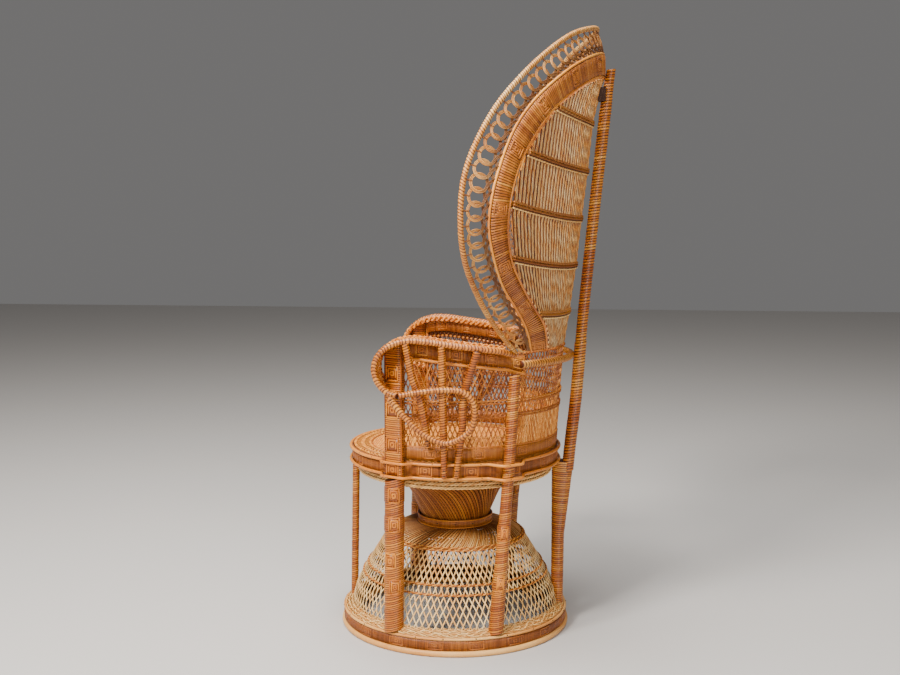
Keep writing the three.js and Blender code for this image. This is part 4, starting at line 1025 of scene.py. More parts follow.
coneWeave = {
    "strands": 80, "footCane": 2.1 * mm, "topCane": 3.9 * mm, "flatness": 0.6, "swirl": 1.05,
    # behind the canes lies a sheet of painted shade, and their backs and flanks carry painted
    # shade too
    "swirlPower": 1.15, "backing": (-4.6 * mm, -3.8 * mm), "backShadeAmount": 1.8,
    "fade": ([0, 0.12, 0.85, 1], [0.35, 0.0, 0.0, 0.4]),  # shade at these shares of the way up
    # a dark layer, its darkness painted shade seen between the canes, leans one way, and over it
    # pairs of lighter canes lean the other:
    # the way, the height, the places of a pair in canes' widths, and the tones
    "layers": ((1, -2.4 * mm, (0.0,), (-0.2, 0.1)), (-1, 0.3 * mm, (-0.6, 0.6), (0.0, 0.7))),
}


def makeCone():
    form = coneWeave
    count = form["strands"]
    v = np.linspace(0, 1, 80)
    parts = [skin(coneSurface, evenTurns(120), v[::4], *form["backing"], closed=True, tone=0.1,
                  shade=0.95)]
    radius = np.linalg.norm(coneSurface(0 * v, v, 0.0)[:, :2] - [0, chairY], axis=1)
    width = np.interp(v, [0, 1], [form["footCane"], form["topCane"]])
    fade = np.interp(v, *form["fade"])[None, :, None]
    for way, depth, places, tones in form["layers"]:
        for place in places:
            u = evenTurns(count)[:, None] + way * form["swirl"] * v[None] ** form["swirlPower"]
            u = u + (place * width / radius)[None]
            lines = coneSurface(u, v[None] + 0 * u, depth + 0 * u)
            normals = standing(coneSurface, u, v[None] + 0 * u)
            parts.append(sweep(lines, width[None], width[None] * form["flatness"], normals, 6,
                               tone=someTones(count, *tones),
                               shade=backShade(6, form["backShadeAmount"]) + fade))
    makePiece("cone_strands", parts, "weave", ["cone_weave"])


# seat

seatForm = {
    "radius": 0.2675, "cane": 7.5 * mm, "caneGap": 0.9 * mm, "waver": 0.4 * mm,
    "wavers": 9, "tone": (0.42, 0.16, 4),
    "nailStep": 0.058, "nailReach": 0.95, "nailRise": 1.2 * mm, "nailTilt": 0.25,
    "lastNail": 0.1,  # radians that it stays off the first
    # each cane's height, and where its nails start
    "canes": {"bottom": (0.43635, 1.2), "top": (0.47085, 0.11)},
    # the canes bulge over the posts: middle in degrees, depth, half width
    "bulges": ((armForm["postDegrees"], 21.2 * mm, 22.5 * mm), (33.2, 31.5 * mm, 15.5 * mm)),
    "fade": (0.1, 1.1),  # in depths: how far past that width a bulge fades, and over how much
}
seatBand = {
    "radius": seatForm["radius"], "low": 0.4326, "high": 0.4746, "inset": 0.7 * mm,
    "skin": 1.9 * mm, "skinSteps": 240, "tuck": 0, "strip": 2.5 * mm, "stripStep": 2.7 * mm,
    "slant": 0.004, "tones": (0.1, 0.7), "patchDegrees": range(-10, 350, 24),
    "patchHalf": (18 * mm, 14 * mm), "patchStrip": 3.4 * mm, "patchTones": (0.4, 0.85),
    "patchGround": 0.7,
}
seatBraid = {
    "radius": 0.2480, "step": 1.5 * mm,  # each rope lies further out than the one below
    "low": 0.4090, "high": 0.4290, "ropes": 3, "spread": 2.6 * mm, "pitch": 0.03,
    "turnEach": 1.3, "cane": 3.8 * mm, "tones": (0.1, 0.9), "back": (-16 * mm, -3 * mm),
}


# how far the seat's canes stand out past its band, at each angle
def bulge(angle):
    folded = np.abs((angle + math.pi / 2) % fullTurn - math.pi) - math.pi / 2
    most = np.zeros_like(folded)
    for middle, depth, half in seatForm["bulges"]:
        away = np.abs(-folded - math.radians(middle)) * seatForm["radius"] - half
        begin, reach = seatForm["fade"]
        fade = np.clip((away - depth * begin) / (depth * reach), 0, 1)
        fade = fade * fade * (3 - 2 * fade)
        most = np.maximum(most, depth * (1 - fade))
    return most


def makeSeat():
    angles = evenTurns(ringSteps)
    makeSeatBraid(angles)
    makePiece("seat_band_strips", roundBand(seatBand), "band", ["seat_band"])

    form = seatForm
    for name, (height, phase) in form["canes"].items():
        radius = form["radius"] + form["cane"] / 2 + form["caneGap"] + bulge(angles)
        line = around(radius, angles, height + form["waver"] * np.sin(form["wavers"] * angles))
        cane = sweep(line, form["cane"], sides=8, closed=True,
                     tone=waveTone(angles, *form["tone"], phase))
        makePiece(f"seat_{name}_cane_round", [cane], "honey", [f"seat_{name}_cane"])
        studs = np.arange(phase, fullTurn + phase - form["lastNail"],
                          form["nailStep"] / form["radius"])
        reach = form["radius"] + form["cane"] * form["nailReach"] + bulge(studs)
        places = around(reach, studs, height + form["nailRise"])
        nailHeads.extend(nails(places, outwards(studs, form["nailTilt"])))


def makeSeatBraid(angles):
    form = seatBraid
    outward = outwards(angles)
    parts = []
    for k, height in enumerate(np.linspace(form["low"], form["high"], form["ropes"])):
        line = around(form["radius"] + form["step"] * k, angles, height)
        lines = twisted(line, outward, 3, form["spread"], form["pitch"], closed=True,
                        start=k * form["turnEach"])
        parts.append(sweep(lines, form["cane"], normals=outward, sides=6, closed=True,
                           shade=backShade(6, 0.9), tone=someTones(3, *form["tones"])))
    parts.append(skin(drumSurface(form["radius"]), angles[::4], [form["low"], form["high"]],
                      *form["back"], closed=True))
    makePiece("seat_braid_canes", parts, "cane", ["seat_braid"])


deckForm = {
    "top": 0.4749, "radius": 0.2629, "step": 6.0 * mm, "stripShare": 0.8, "strip": 0.9 * mm,
    "wave": 0.75 * mm, "sunk": 1.4 * mm, "tones": (0.25, 0.95), "back": (-5.6 * mm, -3.2 * mm),
}
deckBorder = {
    "braids": (0.2515, 0.2305), "rise": 0.9 * mm, "width": 19 * mm, "height": 2.2 * mm,
    "pitch": 0.046, "strip": (8.4 * mm, 1.5 * mm), "tones": (0.2, 0.9), "cord": 0.2175,
    "cordRise": 0.4 * mm, "cordSpread": 1.2 * mm, "cordPitch": 0.016, "cordCane": 2.8 * mm,
}


# flat strips under and over each other across the round deck, over a sheet of painted shade
def makeDeck():
    form = deckForm
    step, reach, top = form["step"], form["radius"], form["top"]

    def disc(angle, share, out):
        return around(reach * share, angle, top + out)
    parts = [skin(disc, evenTurns(96), [0.02, 1], *form["back"], closed=True)]
    places = np.arange(-reach + step / 2, reach, step)
    for axis in (0, 1):
        for k, place in enumerate(places):
            half = math.sqrt(max(0, reach ** 2 - place ** 2))
            if half < step:
                continue
            t = np.arange(-half, half, step / 2)
            wave = np.cos(math.pi * (t / step + k + axis))
            height = top - form["sunk"] + form["wave"] * wave
            flat = [np.full_like(t, place), t] if axis else [t, np.full_like(t, place)]
            line = np.column_stack([flat[0], chairY + flat[1], height])
            parts.append(sweep(line, step * form["stripShare"], form["strip"], [0, 0, 1.0], 4,
                               tone=dice.uniform(*form["tones"])))
    makePiece("seat_deck_weave", parts, "honey", ["seat_deck"])


# the deck's wide plaited border, with a dark cord along its inside
def makeDeckBorder():
    form, top = deckBorder, deckForm["top"]
    angles = evenTurns(ringSteps)
    upward = [0, 0, 1.0] + 0 * angles[:, None]
    parts = []
    for radius in form["braids"]:
        line = around(radius, angles, top + form["rise"])
        lines = plaited(line, upward, 3, form["width"], form["height"], form["pitch"],
                        closed=True)
        parts.append(sweep(lines, *form["strip"], [0, 0, 1.0], 6, closed=True,
                           tone=someTones(3, *form["tones"]), shade=edgeShade(6, 0.9)))
    makePiece("seat_deck_braids", parts, "honey", [])
    line = around(form["cord"], angles, top + form["cordRise"])
    lines = twisted(line, upward, 2, form["cordSpread"], form["cordPitch"], closed=True)
    cord = sweep(lines, form["cordCane"], sides=6, closed=True, tone=0.3, shade=0.2)
    makePiece("seat_deck_cord", [cord], "weave", [])


# legs and posts

legForm = {
    "foot": 0.0500, "top": 0.4303, "armRadius": 0.2778, "armThickness": 0.048,
    "armFootDegrees": -27.2, "armTopDegrees": -26.4, "armTones": (0.4, 0.9), "armDrift": 0.28,
    "armPatches": ((0.163, 14), (0.229, -18), (0.319, 8), (0.392, 4)),  # height, degrees
    "frontFoot": 0.270, "frontTop": 0.2624, "frontThickness": 0.0195,
}
polePatchForm = {
    "half": (15 * mm, 19 * mm), "strip": 4.4 * mm, "thickness": 1.6 * mm, "out": 0.3 * mm,
    "tones": (0.4, 0.9), "ground": 0.5, "turns": (0, 120, 240),
}


# a key patch wound into a round pole, at one height and facing some degrees round
def polePatch(line, thickness, height, degrees, widthHalf=polePatchForm["half"][0]):
    form = polePatchForm
    place = readLine(line, np.interp(height, line[:, 2], arcLengths(line)))

    def surface(u, v, out):
        u, v, out = np.broadcast_arrays(u, v, out)
        angle = math.radians(degrees) + u / (thickness / 2)
        middle = readLine(line, np.interp(place[2] + v, line[:, 2], arcLengths(line)))
        ring = np.stack([np.cos(angle), np.sin(angle), 0 * angle], -1)
        return middle + ring * (thickness / 2 + out)[..., None]
    return keyPatch(surface, 0.0, 0.0, widthHalf, form["half"][1], width=form["strip"],
                    out=form["out"], thickness=form["thickness"], tones=form["tones"],
                    dark=form["ground"])


def straight(foot, head, count=40):
    return np.linspace(foot, head, count)


def polar(radius, degrees, height):
    return around(radius, math.radians(degrees), height)


def makeLegs():
    form = legForm
    leg = straight(polar(form["armRadius"], form["armFootDegrees"], form["foot"]),
                   polar(form["armRadius"], form["armTopDegrees"], form["top"]))
    parts = [wrapped(leg, form["armThickness"], sides=20, tones=form["armTones"],
                     drift=form["armDrift"])]
    for height, facing in form["armPatches"]:
        for turn in polePatchForm["turns"]:
            parts += polePatch(leg, form["armThickness"], height, facing + turn)
    makePair("arm_leg_wraps", parts, "wrap", ["arm_leg"])

    front = straight([0, chairY - form["frontFoot"], form["foot"]],
                     [0, chairY - form["frontTop"], form["top"]])
    makePiece("front_leg_wraps", [wrapped(front, form["frontThickness"])], "wrap", ["front_leg"])


armPostForm = {
    "foot": 0.4308, "belowArm": 3.2 * mm, "width": 0.045, "depth": 0.020, "square": 0.35,
    "tones": (0.35, 0.9), "patches": (0.4535, 0.515, 0.60, 0.69), "patchHalf": (18 * mm, 19 * mm),
    "patchStrip": 4.4 * mm, "patchOut": 0.5 * mm, "patchTones": (0.4, 0.9), "patchGround": 0.5,
    "edgeCane": 3.4 * mm, "edgeAcross": 23.5 * mm, "edgeIn": 4 * mm,
    "edges": ((-1, 0.05, 0.6), (1, 0.35, 0.2)),  # side, tone, shade
}


# the flat post that carries the arm, with a cane down each side of its face
def makeArmPosts():
    form, degrees = armPostForm, armForm["postDegrees"]
    foot = polar(legForm["armRadius"], degrees, form["foot"])
    high = float(armHeightAt(foot[1])) - form["belowArm"]
    turn = math.radians(degrees)
    outward = np.array([math.cos(turn), math.sin(turn), 0.0])
    side = np.array([-math.sin(turn), math.cos(turn), 0.0])
    post = straight(foot, polar(legForm["armRadius"], degrees, high))
    parts = [wrapped(post, form["width"], depth=form["depth"], normals=outward, sides=16,
                     square=form["square"], lean=0.0, tones=form["tones"])]

    def face(u, v, out):
        u, v, out = np.broadcast_arrays(u, v, out)
        middle = polar(legForm["armRadius"], degrees, 0)
        return (middle + side * u[..., None] + outward * (out + form["depth"] / 2)[..., None]
                + np.array([0, 0, 1.0]) * v[..., None])
    for height in form["patches"]:
        parts += keyPatch(face, 0.0, height, *form["patchHalf"], width=form["patchStrip"],
                          out=form["patchOut"], tones=form["patchTones"],
                          dark=form["patchGround"])
    for way, tone, shade in form["edges"]:
        edge = face(np.full(40, way * form["edgeAcross"]), np.linspace(form["foot"], high, 40),
                    -form["edgeIn"])
        parts.append(sweep(edge, form["edgeCane"], sides=6, tone=tone, shade=shade))
    makePair("arm_post_wraps", parts, "wrap", ["arm_post"])


rearPostForm = {
    "foot": (0.279, 26.6, 0.0496), "seat": (0.2835, 33.2, 0.4749), "top": (0.2845, 36.0, 0.6884),
    "thicknesses": (0.037, 0.029, 0.027), "from": 0.05, "rise": 0.64,  # from foot to top
    "ripple": 0.75, "drift": 0.28, "patches": (0.178, 0.301), "patchHalf": 9 * mm,
    "patchDegrees": 10,
}


def makeRearPosts():
    form = rearPostForm
    line = smoothCurve([polar(*form[key]) for key in ("foot", "seat", "top")])
    line = line[line[:, 2] < form["top"][2] - 1 * mm]

    def thickness(share):
        return np.interp(share, [0, 0.5, 1], form["thicknesses"])
    parts = [wrapped(line, thickness, sides=16, ripple=form["ripple"], drift=form["drift"])]
    for height in form["patches"]:
        there = float(thickness((height - form["from"]) / form["rise"]))
        for turn in polePatchForm["turns"]:
            parts += polePatch(line, there, height, form["patchDegrees"] + turn,
                               widthHalf=form["patchHalf"])
    makePair("rear_post_wraps", parts, "wrap", ["rear_post"])


# wall

wallWeave = {
    "strands": 88, "cane": 3.1 * mm, "flatness": 0.74, "tones": (-0.1, 0.7),
    "shift": 8.6,  # how many strands' widths one strand leans over on its way up
    "spare": 20,  # strands past each edge, for those that lean in from there
    "wave": 1.1 * mm, "inward": 2.0 * mm, "tuck": 4 * mm, "edgeTurn": 0.004,
    "backFrom": math.radians(35),
}
wallUprights = {
    "step": 8.2 * mm, "lean": 0.05, "leanOver": 0.1,  # radians, and over what height
    "top": 4 * mm, "inward": 1.6 * mm, "spread": 1.6 * mm, "pitch": 0.026, "cane": 3.4 * mm,
    "tones": (0.25, 1.05), "edgeCane": 6 * mm, "edgeInward": 2 * mm, "edgeTurn": 0.008,
}
wallRopes = {
    "cane": 3.0 * mm, "spread": 1.4 * mm, "pitch": 0.022, "out": 0.8 * mm, "pair": 0.007,
    "tones": (0.0, 0.6), "topTones": (0.2, 0.7), "topFrom": math.radians(42), "topDrop": 4 * mm,
}
wallArches = {
    "step": 0.0166, "overlap": 0.95, "height": 0.030, "cane": 3.0 * mm, "tones": (0.4, 1.0),
    "wave": 1.6 * mm, "out": 0.2 * mm, "blunt": 0.8,  # below 1 makes an arch blunter
}
wallBand = {
    "stripStep": 3.0 * mm, "strip": 2.6 * mm, "slant": 0.004, "tones": (0.4, 0.95),
    "out": 1.4 * mm, "skin": (-1.2 * mm, 0.4 * mm), "insideOut": -4.6 * mm,
    "topCane": 4.0 * mm, "topOut": 1.2 * mm, "topTone": 0.6,
    "patchDegrees": range(-8, 200, 26), "patchHalf": (16 * mm, 11 * mm),
    "patchRadius": 0.2633, "patchStrip": 2.8 * mm,
}
wallStart, wallEnd = wallForm["frontAngle"], math.pi - wallForm["frontAngle"]


def wallTurns(count):
    return np.linspace(wallStart, wallEnd, count)


def mirrorTurn(angle):
    return np.where(angle > math.pi / 2, math.pi - angle, angle)


def wallNormals(line):
    return unit((line - [0, chairY, 0]) * [1, 1, 0])


# the stretches where a line is wanted, each as a slice
def stretches(wanted, least=5):
    edges = np.flatnonzero(np.diff(np.concatenate([[0], wanted.astype(int), [0]])))
    return [slice(a, b) for a, b in edges.reshape(-1, 2) if b - a >= least]


def wallStrand(u, v, lift, width, tone):
    line = wallSurface(u, v, lift)
    return sweep(line, width, width * wallWeave["flatness"], wallNormals(line)[None], 6,
                 tone=tone, shade=backShade(6, 1.0))


def wallRope(turns, heights, pitch, tones):
    form = wallRopes
    line = wallSurface(turns, heights, form["out"])
    lines = twisted(line, wallNormals(line), 2, form["spread"], pitch)
    return sweep(lines, form["cane"], sides=6, tone=someTones(2, *tones), shade=0.1)


# crossing strands all round at the top, and down to the band at the two sides
def wallCrossings(low):
    form = wallWeave
    step = (wallEnd - wallStart) / form["strands"]
    t = np.linspace(0, 1, 84)
    parts = []
    for way in (1, -1):
        first = wallStart + 0.25 * (1 + way) * step
        for place in np.arange(-form["spare"], form["strands"] + form["spare"]) * step + first:
            u = place + way * form["shift"] * step * t
            v = low + (armUnder(mirrorTurn(u)) - 1 * mm - low) * t
            wanted = (u > wallStart + form["edgeTurn"]) & (u < wallEnd - form["edgeTurn"])
            wanted &= (mirrorTurn(u) < form["backFrom"]) | (v > wallForm["rows"][0])
            lift = way * form["wave"] * np.cos(2 * math.pi * form["shift"] * t) - form["inward"]
            for chosen in stretches(wanted):
                parts.append(wallStrand(u[chosen], v[chosen], lift[chosen], form["cane"],
                                        dice.uniform(*form["tones"])))
    return parts


# twisted uprights below the rows at the back, and a plain one at each front edge
def wallCanes(low):
    form, backFrom = wallUprights, wallWeave["backFrom"]
    reach = math.pi - 2 * backFrom
    count = round(reach * wallForm["radius"] / form["step"])
    parts = []
    for k in range(count):
        place = backFrom + reach * (k + 0.5) / count
        v = np.linspace(low, wallForm["rows"][0] + form["top"], 26)
        way = 1 if place < math.pi / 2 else -1
        u = place + form["lean"] * way * (v - low) / form["leanOver"]
        line = wallSurface(u, v, -form["inward"])
        lines = twisted(line, wallNormals(line), 2, form["spread"], form["pitch"],
                        start=dice.uniform(0, fullTurn))
        parts.append(sweep(lines, form["cane"], sides=6, tone=someTones(2, *form["tones"]),
                           shade=0.04))
    for edge in (wallStart + form["edgeTurn"], wallEnd - form["edgeTurn"]):
        v = np.linspace(low, float(armUnder(mirrorTurn(edge))) - 1 * mm, 20)
        line = wallSurface(edge + 0 * v, v, -form["edgeInward"])
        parts.append(sweep(line, form["edgeCane"], sides=7, tone=0.45))
    return parts


# pairs of ropes round the wall, and one along the open top at the back
def wallRows():
    form = wallRopes
    turns = wallTurns(700)
    parts = []
    for row in wallForm["rows"]:
        parts.append(wallRope(turns, row + 0 * turns, -form["pitch"], form["tones"]))
        parts.append(wallRope(turns, row + form["pair"] + 0 * turns, form["pitch"],
                              form["tones"]))
    turns = np.linspace(form["topFrom"], math.pi - form["topFrom"], 400)
    parts.append(wallRope(turns, armUnder(turns) - form["topDrop"], form["pitch"],
                          form["topTones"]))
    return parts


# small arches that stand on the lower band at the two sides
def wallArchRow(low):
    form = wallArches
    step = form["step"] / wallForm["radius"]
    phi = np.linspace(0, math.pi, 12)
    parts = []
    for place in np.arange(wallStart + step, wallEnd - step, step):
        if mirrorTurn(place) > wallWeave["backFrom"]:
            continue
        u = place + form["overlap"] * step * np.cos(phi)
        v = low + form["height"] * np.sin(phi) ** form["blunt"]
        lift = form["wave"] * np.cos(phi) + form["out"]
        parts.append(wallStrand(u, v, lift, form["cane"], dice.uniform(*form["tones"])))
    return parts


def makeWall():
    low = wallForm["lowerBand"][1] - wallWeave["tuck"]
    parts = wallCrossings(low) + wallCanes(low) + wallRows() + wallArchRow(low)
    makePiece("wall_lattice", parts, "weave", ["wall_weave"])


def makeWallBand():
    form = wallBand
    low, high = wallForm["lowerBand"]
    turns = wallTurns(200)

    def band(angle, height, out):
        return wallSurface(angle, height, out + form["out"])
    us = wallTurns(round((wallEnd - wallStart) * wallForm["radius"] / form["stripStep"]))
    parts = [skin(band, turns, [low, high], *form["skin"]),
             strips(band, us, low, high, form["strip"], slant=form["slant"],
                    tones=form["tones"]),
             strips(band, us, low, high, form["strip"], slant=form["slant"],
                    out=form["insideOut"])]
    top = wallSurface(turns, high + 0 * turns, form["topOut"])
    parts.append(sweep(top, form["topCane"], sides=6, tone=form["topTone"]))
    widthHalf, heightHalf = form["patchHalf"]
    for turn in np.radians(form["patchDegrees"]):
        parts += keyPatch(band, turn, (low + high) / 2, widthHalf / form["patchRadius"],
                          heightHalf, width=form["patchStrip"])
    makePiece("wall_band_strips", parts, "band", ["wall_lower_band"])


# arms

armWraps = {"pitch": 7.8 * mm, "lean": 0.3, "tones": (0.2, 0.7), "ripple": 0.8}
loopForm = {
    "pole": armForm["pole"] - 0.5 * mm, "nailAt": (7.2 * mm, 4 * mm, -2 * mm),
    "nail": 2.1 * mm,
}
strutWraps = {"pitch": 6.2 * mm, "lean": 0.1, "tones": (0.3, 0.8), "ripple": 0.5}
strutForm = {
    "thickness": 0.018, "tip": 0.014, "taperFrom": 0.75, "belowPole": 4 * mm,
    "nailRises": (6 * mm, 19 * mm), "nailOut": 0.45, "nail": 2.2 * mm, "nailHeight": 2.0 * mm,
}


def makeArmPoles():
    line = armPoleLine[armPoleLine[:, 1] < chairY + armForm["back"] - 2 * mm]
    makePair("arm_pole_wraps", [wrapped(line, armForm["pole"], **armWraps)], "honey",
             ["arm_pole"])

    points = armPoint([[1, along, down] for _, along, down in armLoopShares])
    points[:, 0] += np.array([row[0] for row in armLoopShares]) * mm
    line = smoothCurve(np.vstack([armPoleLine[-1:] + [1 * mm, 0.0, 0.0], points]))
    makePair("arm_loop_wraps", [wrapped(line, loopForm["pole"], **armWraps)], "honey",
             ["arm_loop"])
    for sign in (1, -1):
        place = (line[-1] + loopForm["nailAt"]) * [sign, 1, 1]
        nailHeads.append(nail(place, [sign, 0, 0.1], radius=loopForm["nail"]))


def makeStruts():
    form = strutForm

    def thickness(share):
        return np.interp(share, [form["taperFrom"], 1], [form["thickness"], form["tip"]])
    for number, shares in enumerate(strutShares, 1):
        line = smoothCurve(armPoint(shares))
        below = line[line[:, 2] < armHeightAt(line[:, 1]) - form["belowPole"]]
        wound = wrapped(below, thickness, **strutWraps)
        makePair(f"arm_strut_{number}_wraps", [wound], "wrap", [f"arm_strut_{number}"])
        for sign in (1, -1):
            for rise in form["nailRises"]:
                place = line[np.argmin(np.abs(line[:, 2] - line[-1, 2] - rise))]
                place = (place + [form["tip"] * form["nailOut"], 0, 0]) * [sign, 1, 1]
                nailHeads.append(nail(place, [sign, 0, 0], radius=form["nail"],
                                      height=form["nailHeight"]))


# the woven arm: u runs along the pole from the back to the curl, v from the pole inward
def armSheetSurface():
    points = armPoleLine[armPoleLine[:, 1] < armPoint(armPoleShares)[1][1]]
    least = polar(armForm["sheetInner"], armForm["postDegrees"], 0)[0]
    y = points[:, 1] - chairY
    reach = np.sqrt(np.maximum(0, armForm["sheetInner"] ** 2 - y ** 2))
    inner = np.where(y < 0, np.maximum(reach, least), reach)
    outerLine = points - [armForm["pole"] / 2, 0, 0]
    innerLine = np.column_stack([inner, points[:, 1], points[:, 2]])
    along = np.gradient(points, axis=0)
    face = unit(np.column_stack([0 * y, along[:, 2], -along[:, 1]]))
    share = arcLengths(points) / arcLengths(points)[-1]

    def surface(u, v, out):
        u, v, out = np.broadcast_arrays(u, v, out)
        outer, inside, front = (np.stack([np.interp(u, share, line[:, k]) for k in range(3)], -1)
                                for line in (outerLine, innerLine, face))
        return outer + (inside - outer) * v[..., None] + unit(front) * out[..., None]
    return surface, arcLengths(points)[-1]


armTopForm = {
    "ends": (0.004, 0.996), "skin": 0.9 * mm, "strip": 1.0 * mm, "out": 1.5 * mm,
    "wave": 0.7 * mm, "crossStep": 5.2 * mm, "cross": 4.6 * mm, "crossTones": (0.25, 0.85),
    "rows": 5, "row": 5.0 * mm, "rowTones": (0.4, 0.9),
}
armBraidForm = {
    "inward": 8.3 * mm, "layer": 1.3 * mm, "width": 10 * mm, "height": 8 * mm, "pitch": 0.042,
    "strip": (4.4 * mm, 3.6 * mm), "tones": (0.0, 0.55), "shade": 0.08,
}


# strips across the arm, over and under the ones along it, on both faces, with a sheet of painted
# shade between them
def makeArmTops():
    form, rows = armTopForm, armTopForm["rows"]
    surface, length = armSheetSurface()
    parts = [skin(surface, np.linspace(*form["ends"], 90), [0.0, 1.0], -form["skin"],
                  form["skin"], tone=0.2, shade=0.6)]
    count = round(length / form["crossStep"])

    def strip(side, u, v, wave, width, tones):
        u, v = np.broadcast_arrays(u, v)
        line = surface(u, v, side * (form["out"] + form["wave"] * wave))
        return sweep(line, width, form["strip"], standing(surface, u, v)[None], 4,
                     tone=dice.uniform(*tones))
    for side in (1, -1):
        v = np.linspace(0.01, 0.99, 11)
        for k in range(count):
            wave = np.cos(math.pi * (v * rows) + math.pi * k)
            parts.append(strip(side, (k + 0.5) / count, v, wave, form["cross"],
                               form["crossTones"]))
        u = np.linspace(*form["ends"], count * 2)
        for row in range(rows):
            wave = -np.cos(math.pi * (u * count - 0.5) + math.pi * (row + 0.5))
            parts.append(strip(side, u, (row + 0.5) / rows, wave, form["row"],
                               form["rowTones"]))
    makePair("arm_top_weave", parts, "honey", ["arm_sheet"])


def makeArmBraids():
    form = armBraidForm
    surface, _ = armSheetSurface()
    u = np.linspace(0.0, 1.0, 260)
    line = surface(u, 1.0 + 0 * u, 0.0) - [form["inward"], 0, 0]
    normals = standing(surface, u, 1.0 + 0 * u)
    parts = []
    for shift in (-form["layer"], form["layer"]):
        lines = plaited(line + [0, 0, shift], normals, 3, form["width"], form["height"],
                        form["pitch"])
        parts.append(sweep(lines, *form["strip"], sides=6, tone=someTones(3, *form["tones"]),
                           shade=form["shade"]))
    makePair("arm_braid_canes", parts, "honey", ["arm_inner_braid"])


armBandForm = {
    "panels": 24, "outerPanels": 7, "innerPanels": 6, "stripStep": 3.0 * mm, "strip": 2.7 * mm,
    "slant": 0.006, "edgeTurn": 0.004, "edgeShare": 0.01, "skin": 0.2 * mm, "patchHigh": 0.34,
    "outerOut": 2.0 * mm, "innerIn": 5.6 * mm,
    "outer": {"inside": -1.5 * mm, "patches": (-12, 6, 24, 39), "patchHalf": 15 * mm,
              "patchStrip": 3.4 * mm},
    "inner": {"inside": -1.2 * mm, "patches": (-14, 2, 18, 30), "patchHalf": 14 * mm,
              "patchStrip": 2.6 * mm},
    "cane": 8 * mm, "caneBelow": 4.6 * mm, "caneOut": 2.7 * mm,
}


# a strip band on the wall from its front edge back, v 0 to 1 up it
def armBand(surface, end, inside, patches, patchHalf, patchStrip):
    form = armBandForm
    count = round((end - wallStart) * wallForm["radius"] / form["stripStep"])
    us = np.linspace(wallStart + form["edgeTurn"], end - form["edgeTurn"], count)
    parts = [skin(surface, np.linspace(wallStart, end, 60), [0, 1], inside, form["skin"]),
             strips(surface, us, form["edgeShare"], 1 - form["edgeShare"], form["strip"],
                    slant=form["slant"])]
    for turn in np.radians(patches):
        parts += keyPatch(surface, turn, 0.5, patchHalf / wallForm["radius"],
                          form["patchHigh"], width=patchStrip)
    return parts


def makeArmBands():
    form = armBandForm
    panel = (wallEnd - wallStart) / form["panels"]
    outerEnd = wallStart + form["outerPanels"] * panel
    innerEnd = wallStart + form["innerPanels"] * panel

    def outerBand(angle, v, out):
        up = armForm["bandHeight"] * v
        return wallSurface(angle, armBandLow(angle) + up, out + form["outerOut"])

    def innerBand(angle, v, out):
        down = armForm["innerBandHeight"] * (1 - v)
        return wallSurface(angle, armUnder(angle) - down, -form["innerIn"] - out)
    makePair("arm_outer_band_strips", armBand(outerBand, outerEnd, **form["outer"]), "band",
             ["arm_outer_band"])

    turns = np.linspace(wallStart, outerEnd, 60)[2:]
    below = -form["caneBelow"] / armForm["bandHeight"]
    cane = sweep(outerBand(turns, below + 0 * turns, form["caneOut"]), form["cane"], sides=8,
                 tone=0.4)
    makePair("arm_outer_cane_round", [cane], "honey", ["arm_outer_cane"])

    makePair("arm_inner_band_strips", armBand(innerBand, innerEnd, **form["inner"]), "band",
             ["arm_inner_band"])


# fan

# the rim pole and the canes beside the fan's band are slimmer than their solids
rimForm = {
    "pole": 12.6 * mm, "pitch": 7.0 * mm, "lean": 0.26, "tones": (0.4, 0.95),
    "browner": ([0.3, 0.8], [0.6, 0]),  # at these shares of the height, and how much
    "cane": 6.4 * mm, "caneSteps": 700, "mottle": 0.2, "mottleTurns": 60,
    "caneBrowner": ([0.75, 1.4], [0.3, 0]),  # at these heights, and how much
    "caneTones": {"outer": 0.7, "inner": 0.3},
}


def makeRim():
    form = rimForm
    rim = wrapped(rimLine, form["pole"], form["pitch"], lean=form["lean"], tones=form["tones"])
    up = (rim["points"][:, 2] - fanForm["foot"]) / fanForm["height"]
    rim["values"][0] = rim["values"][0] - np.interp(up, *form["browner"])
    makePiece("rim_pole_wraps", [rim], "paleWrap", ["rim_pole"])
    for name, line in (("outer", bandOuterLine), ("inner", bandInnerLine)):
        points = resample(line, form["caneSteps"])
        turns = np.linspace(0, form["mottleTurns"], form["caneSteps"])
        tones = form["caneTones"][name] + form["mottle"] * np.sin(turns)
        tones = tones - np.interp(points[:, 2], *form["caneBrowner"])
        cane = sweep(points, form["cane"], sides=8, tone=tones[None])
        makePiece(f"band_{name}_cane_round", [cane], "honey", [f"band_{name}_cane"])


laceForm = {
    "pitch": 33.6 * mm, "alongHalf": 21.4 * mm, "acrossShare": 0.285, "gap": 4.6 * mm,
    "canes": 3, "cane": 2.45 * mm, "caneStep": 1.02, "lift": 2.2 * mm, "tones": (-0.05, 0.25),
    # painted shade that deepens towards the band
    "caneTones": (-0.15, 0.3), "bandShade": ([0.45, 0.8], [0, 0.7]),  # darker by the band
    "ringDegrees": range(42, 319, 23),  # the loop's round part, counted from the rim
    "tie": 4.2 * mm, "tieRipple": 0.2, "tieSteps": 12, "tieTuck": 2 * mm,
}


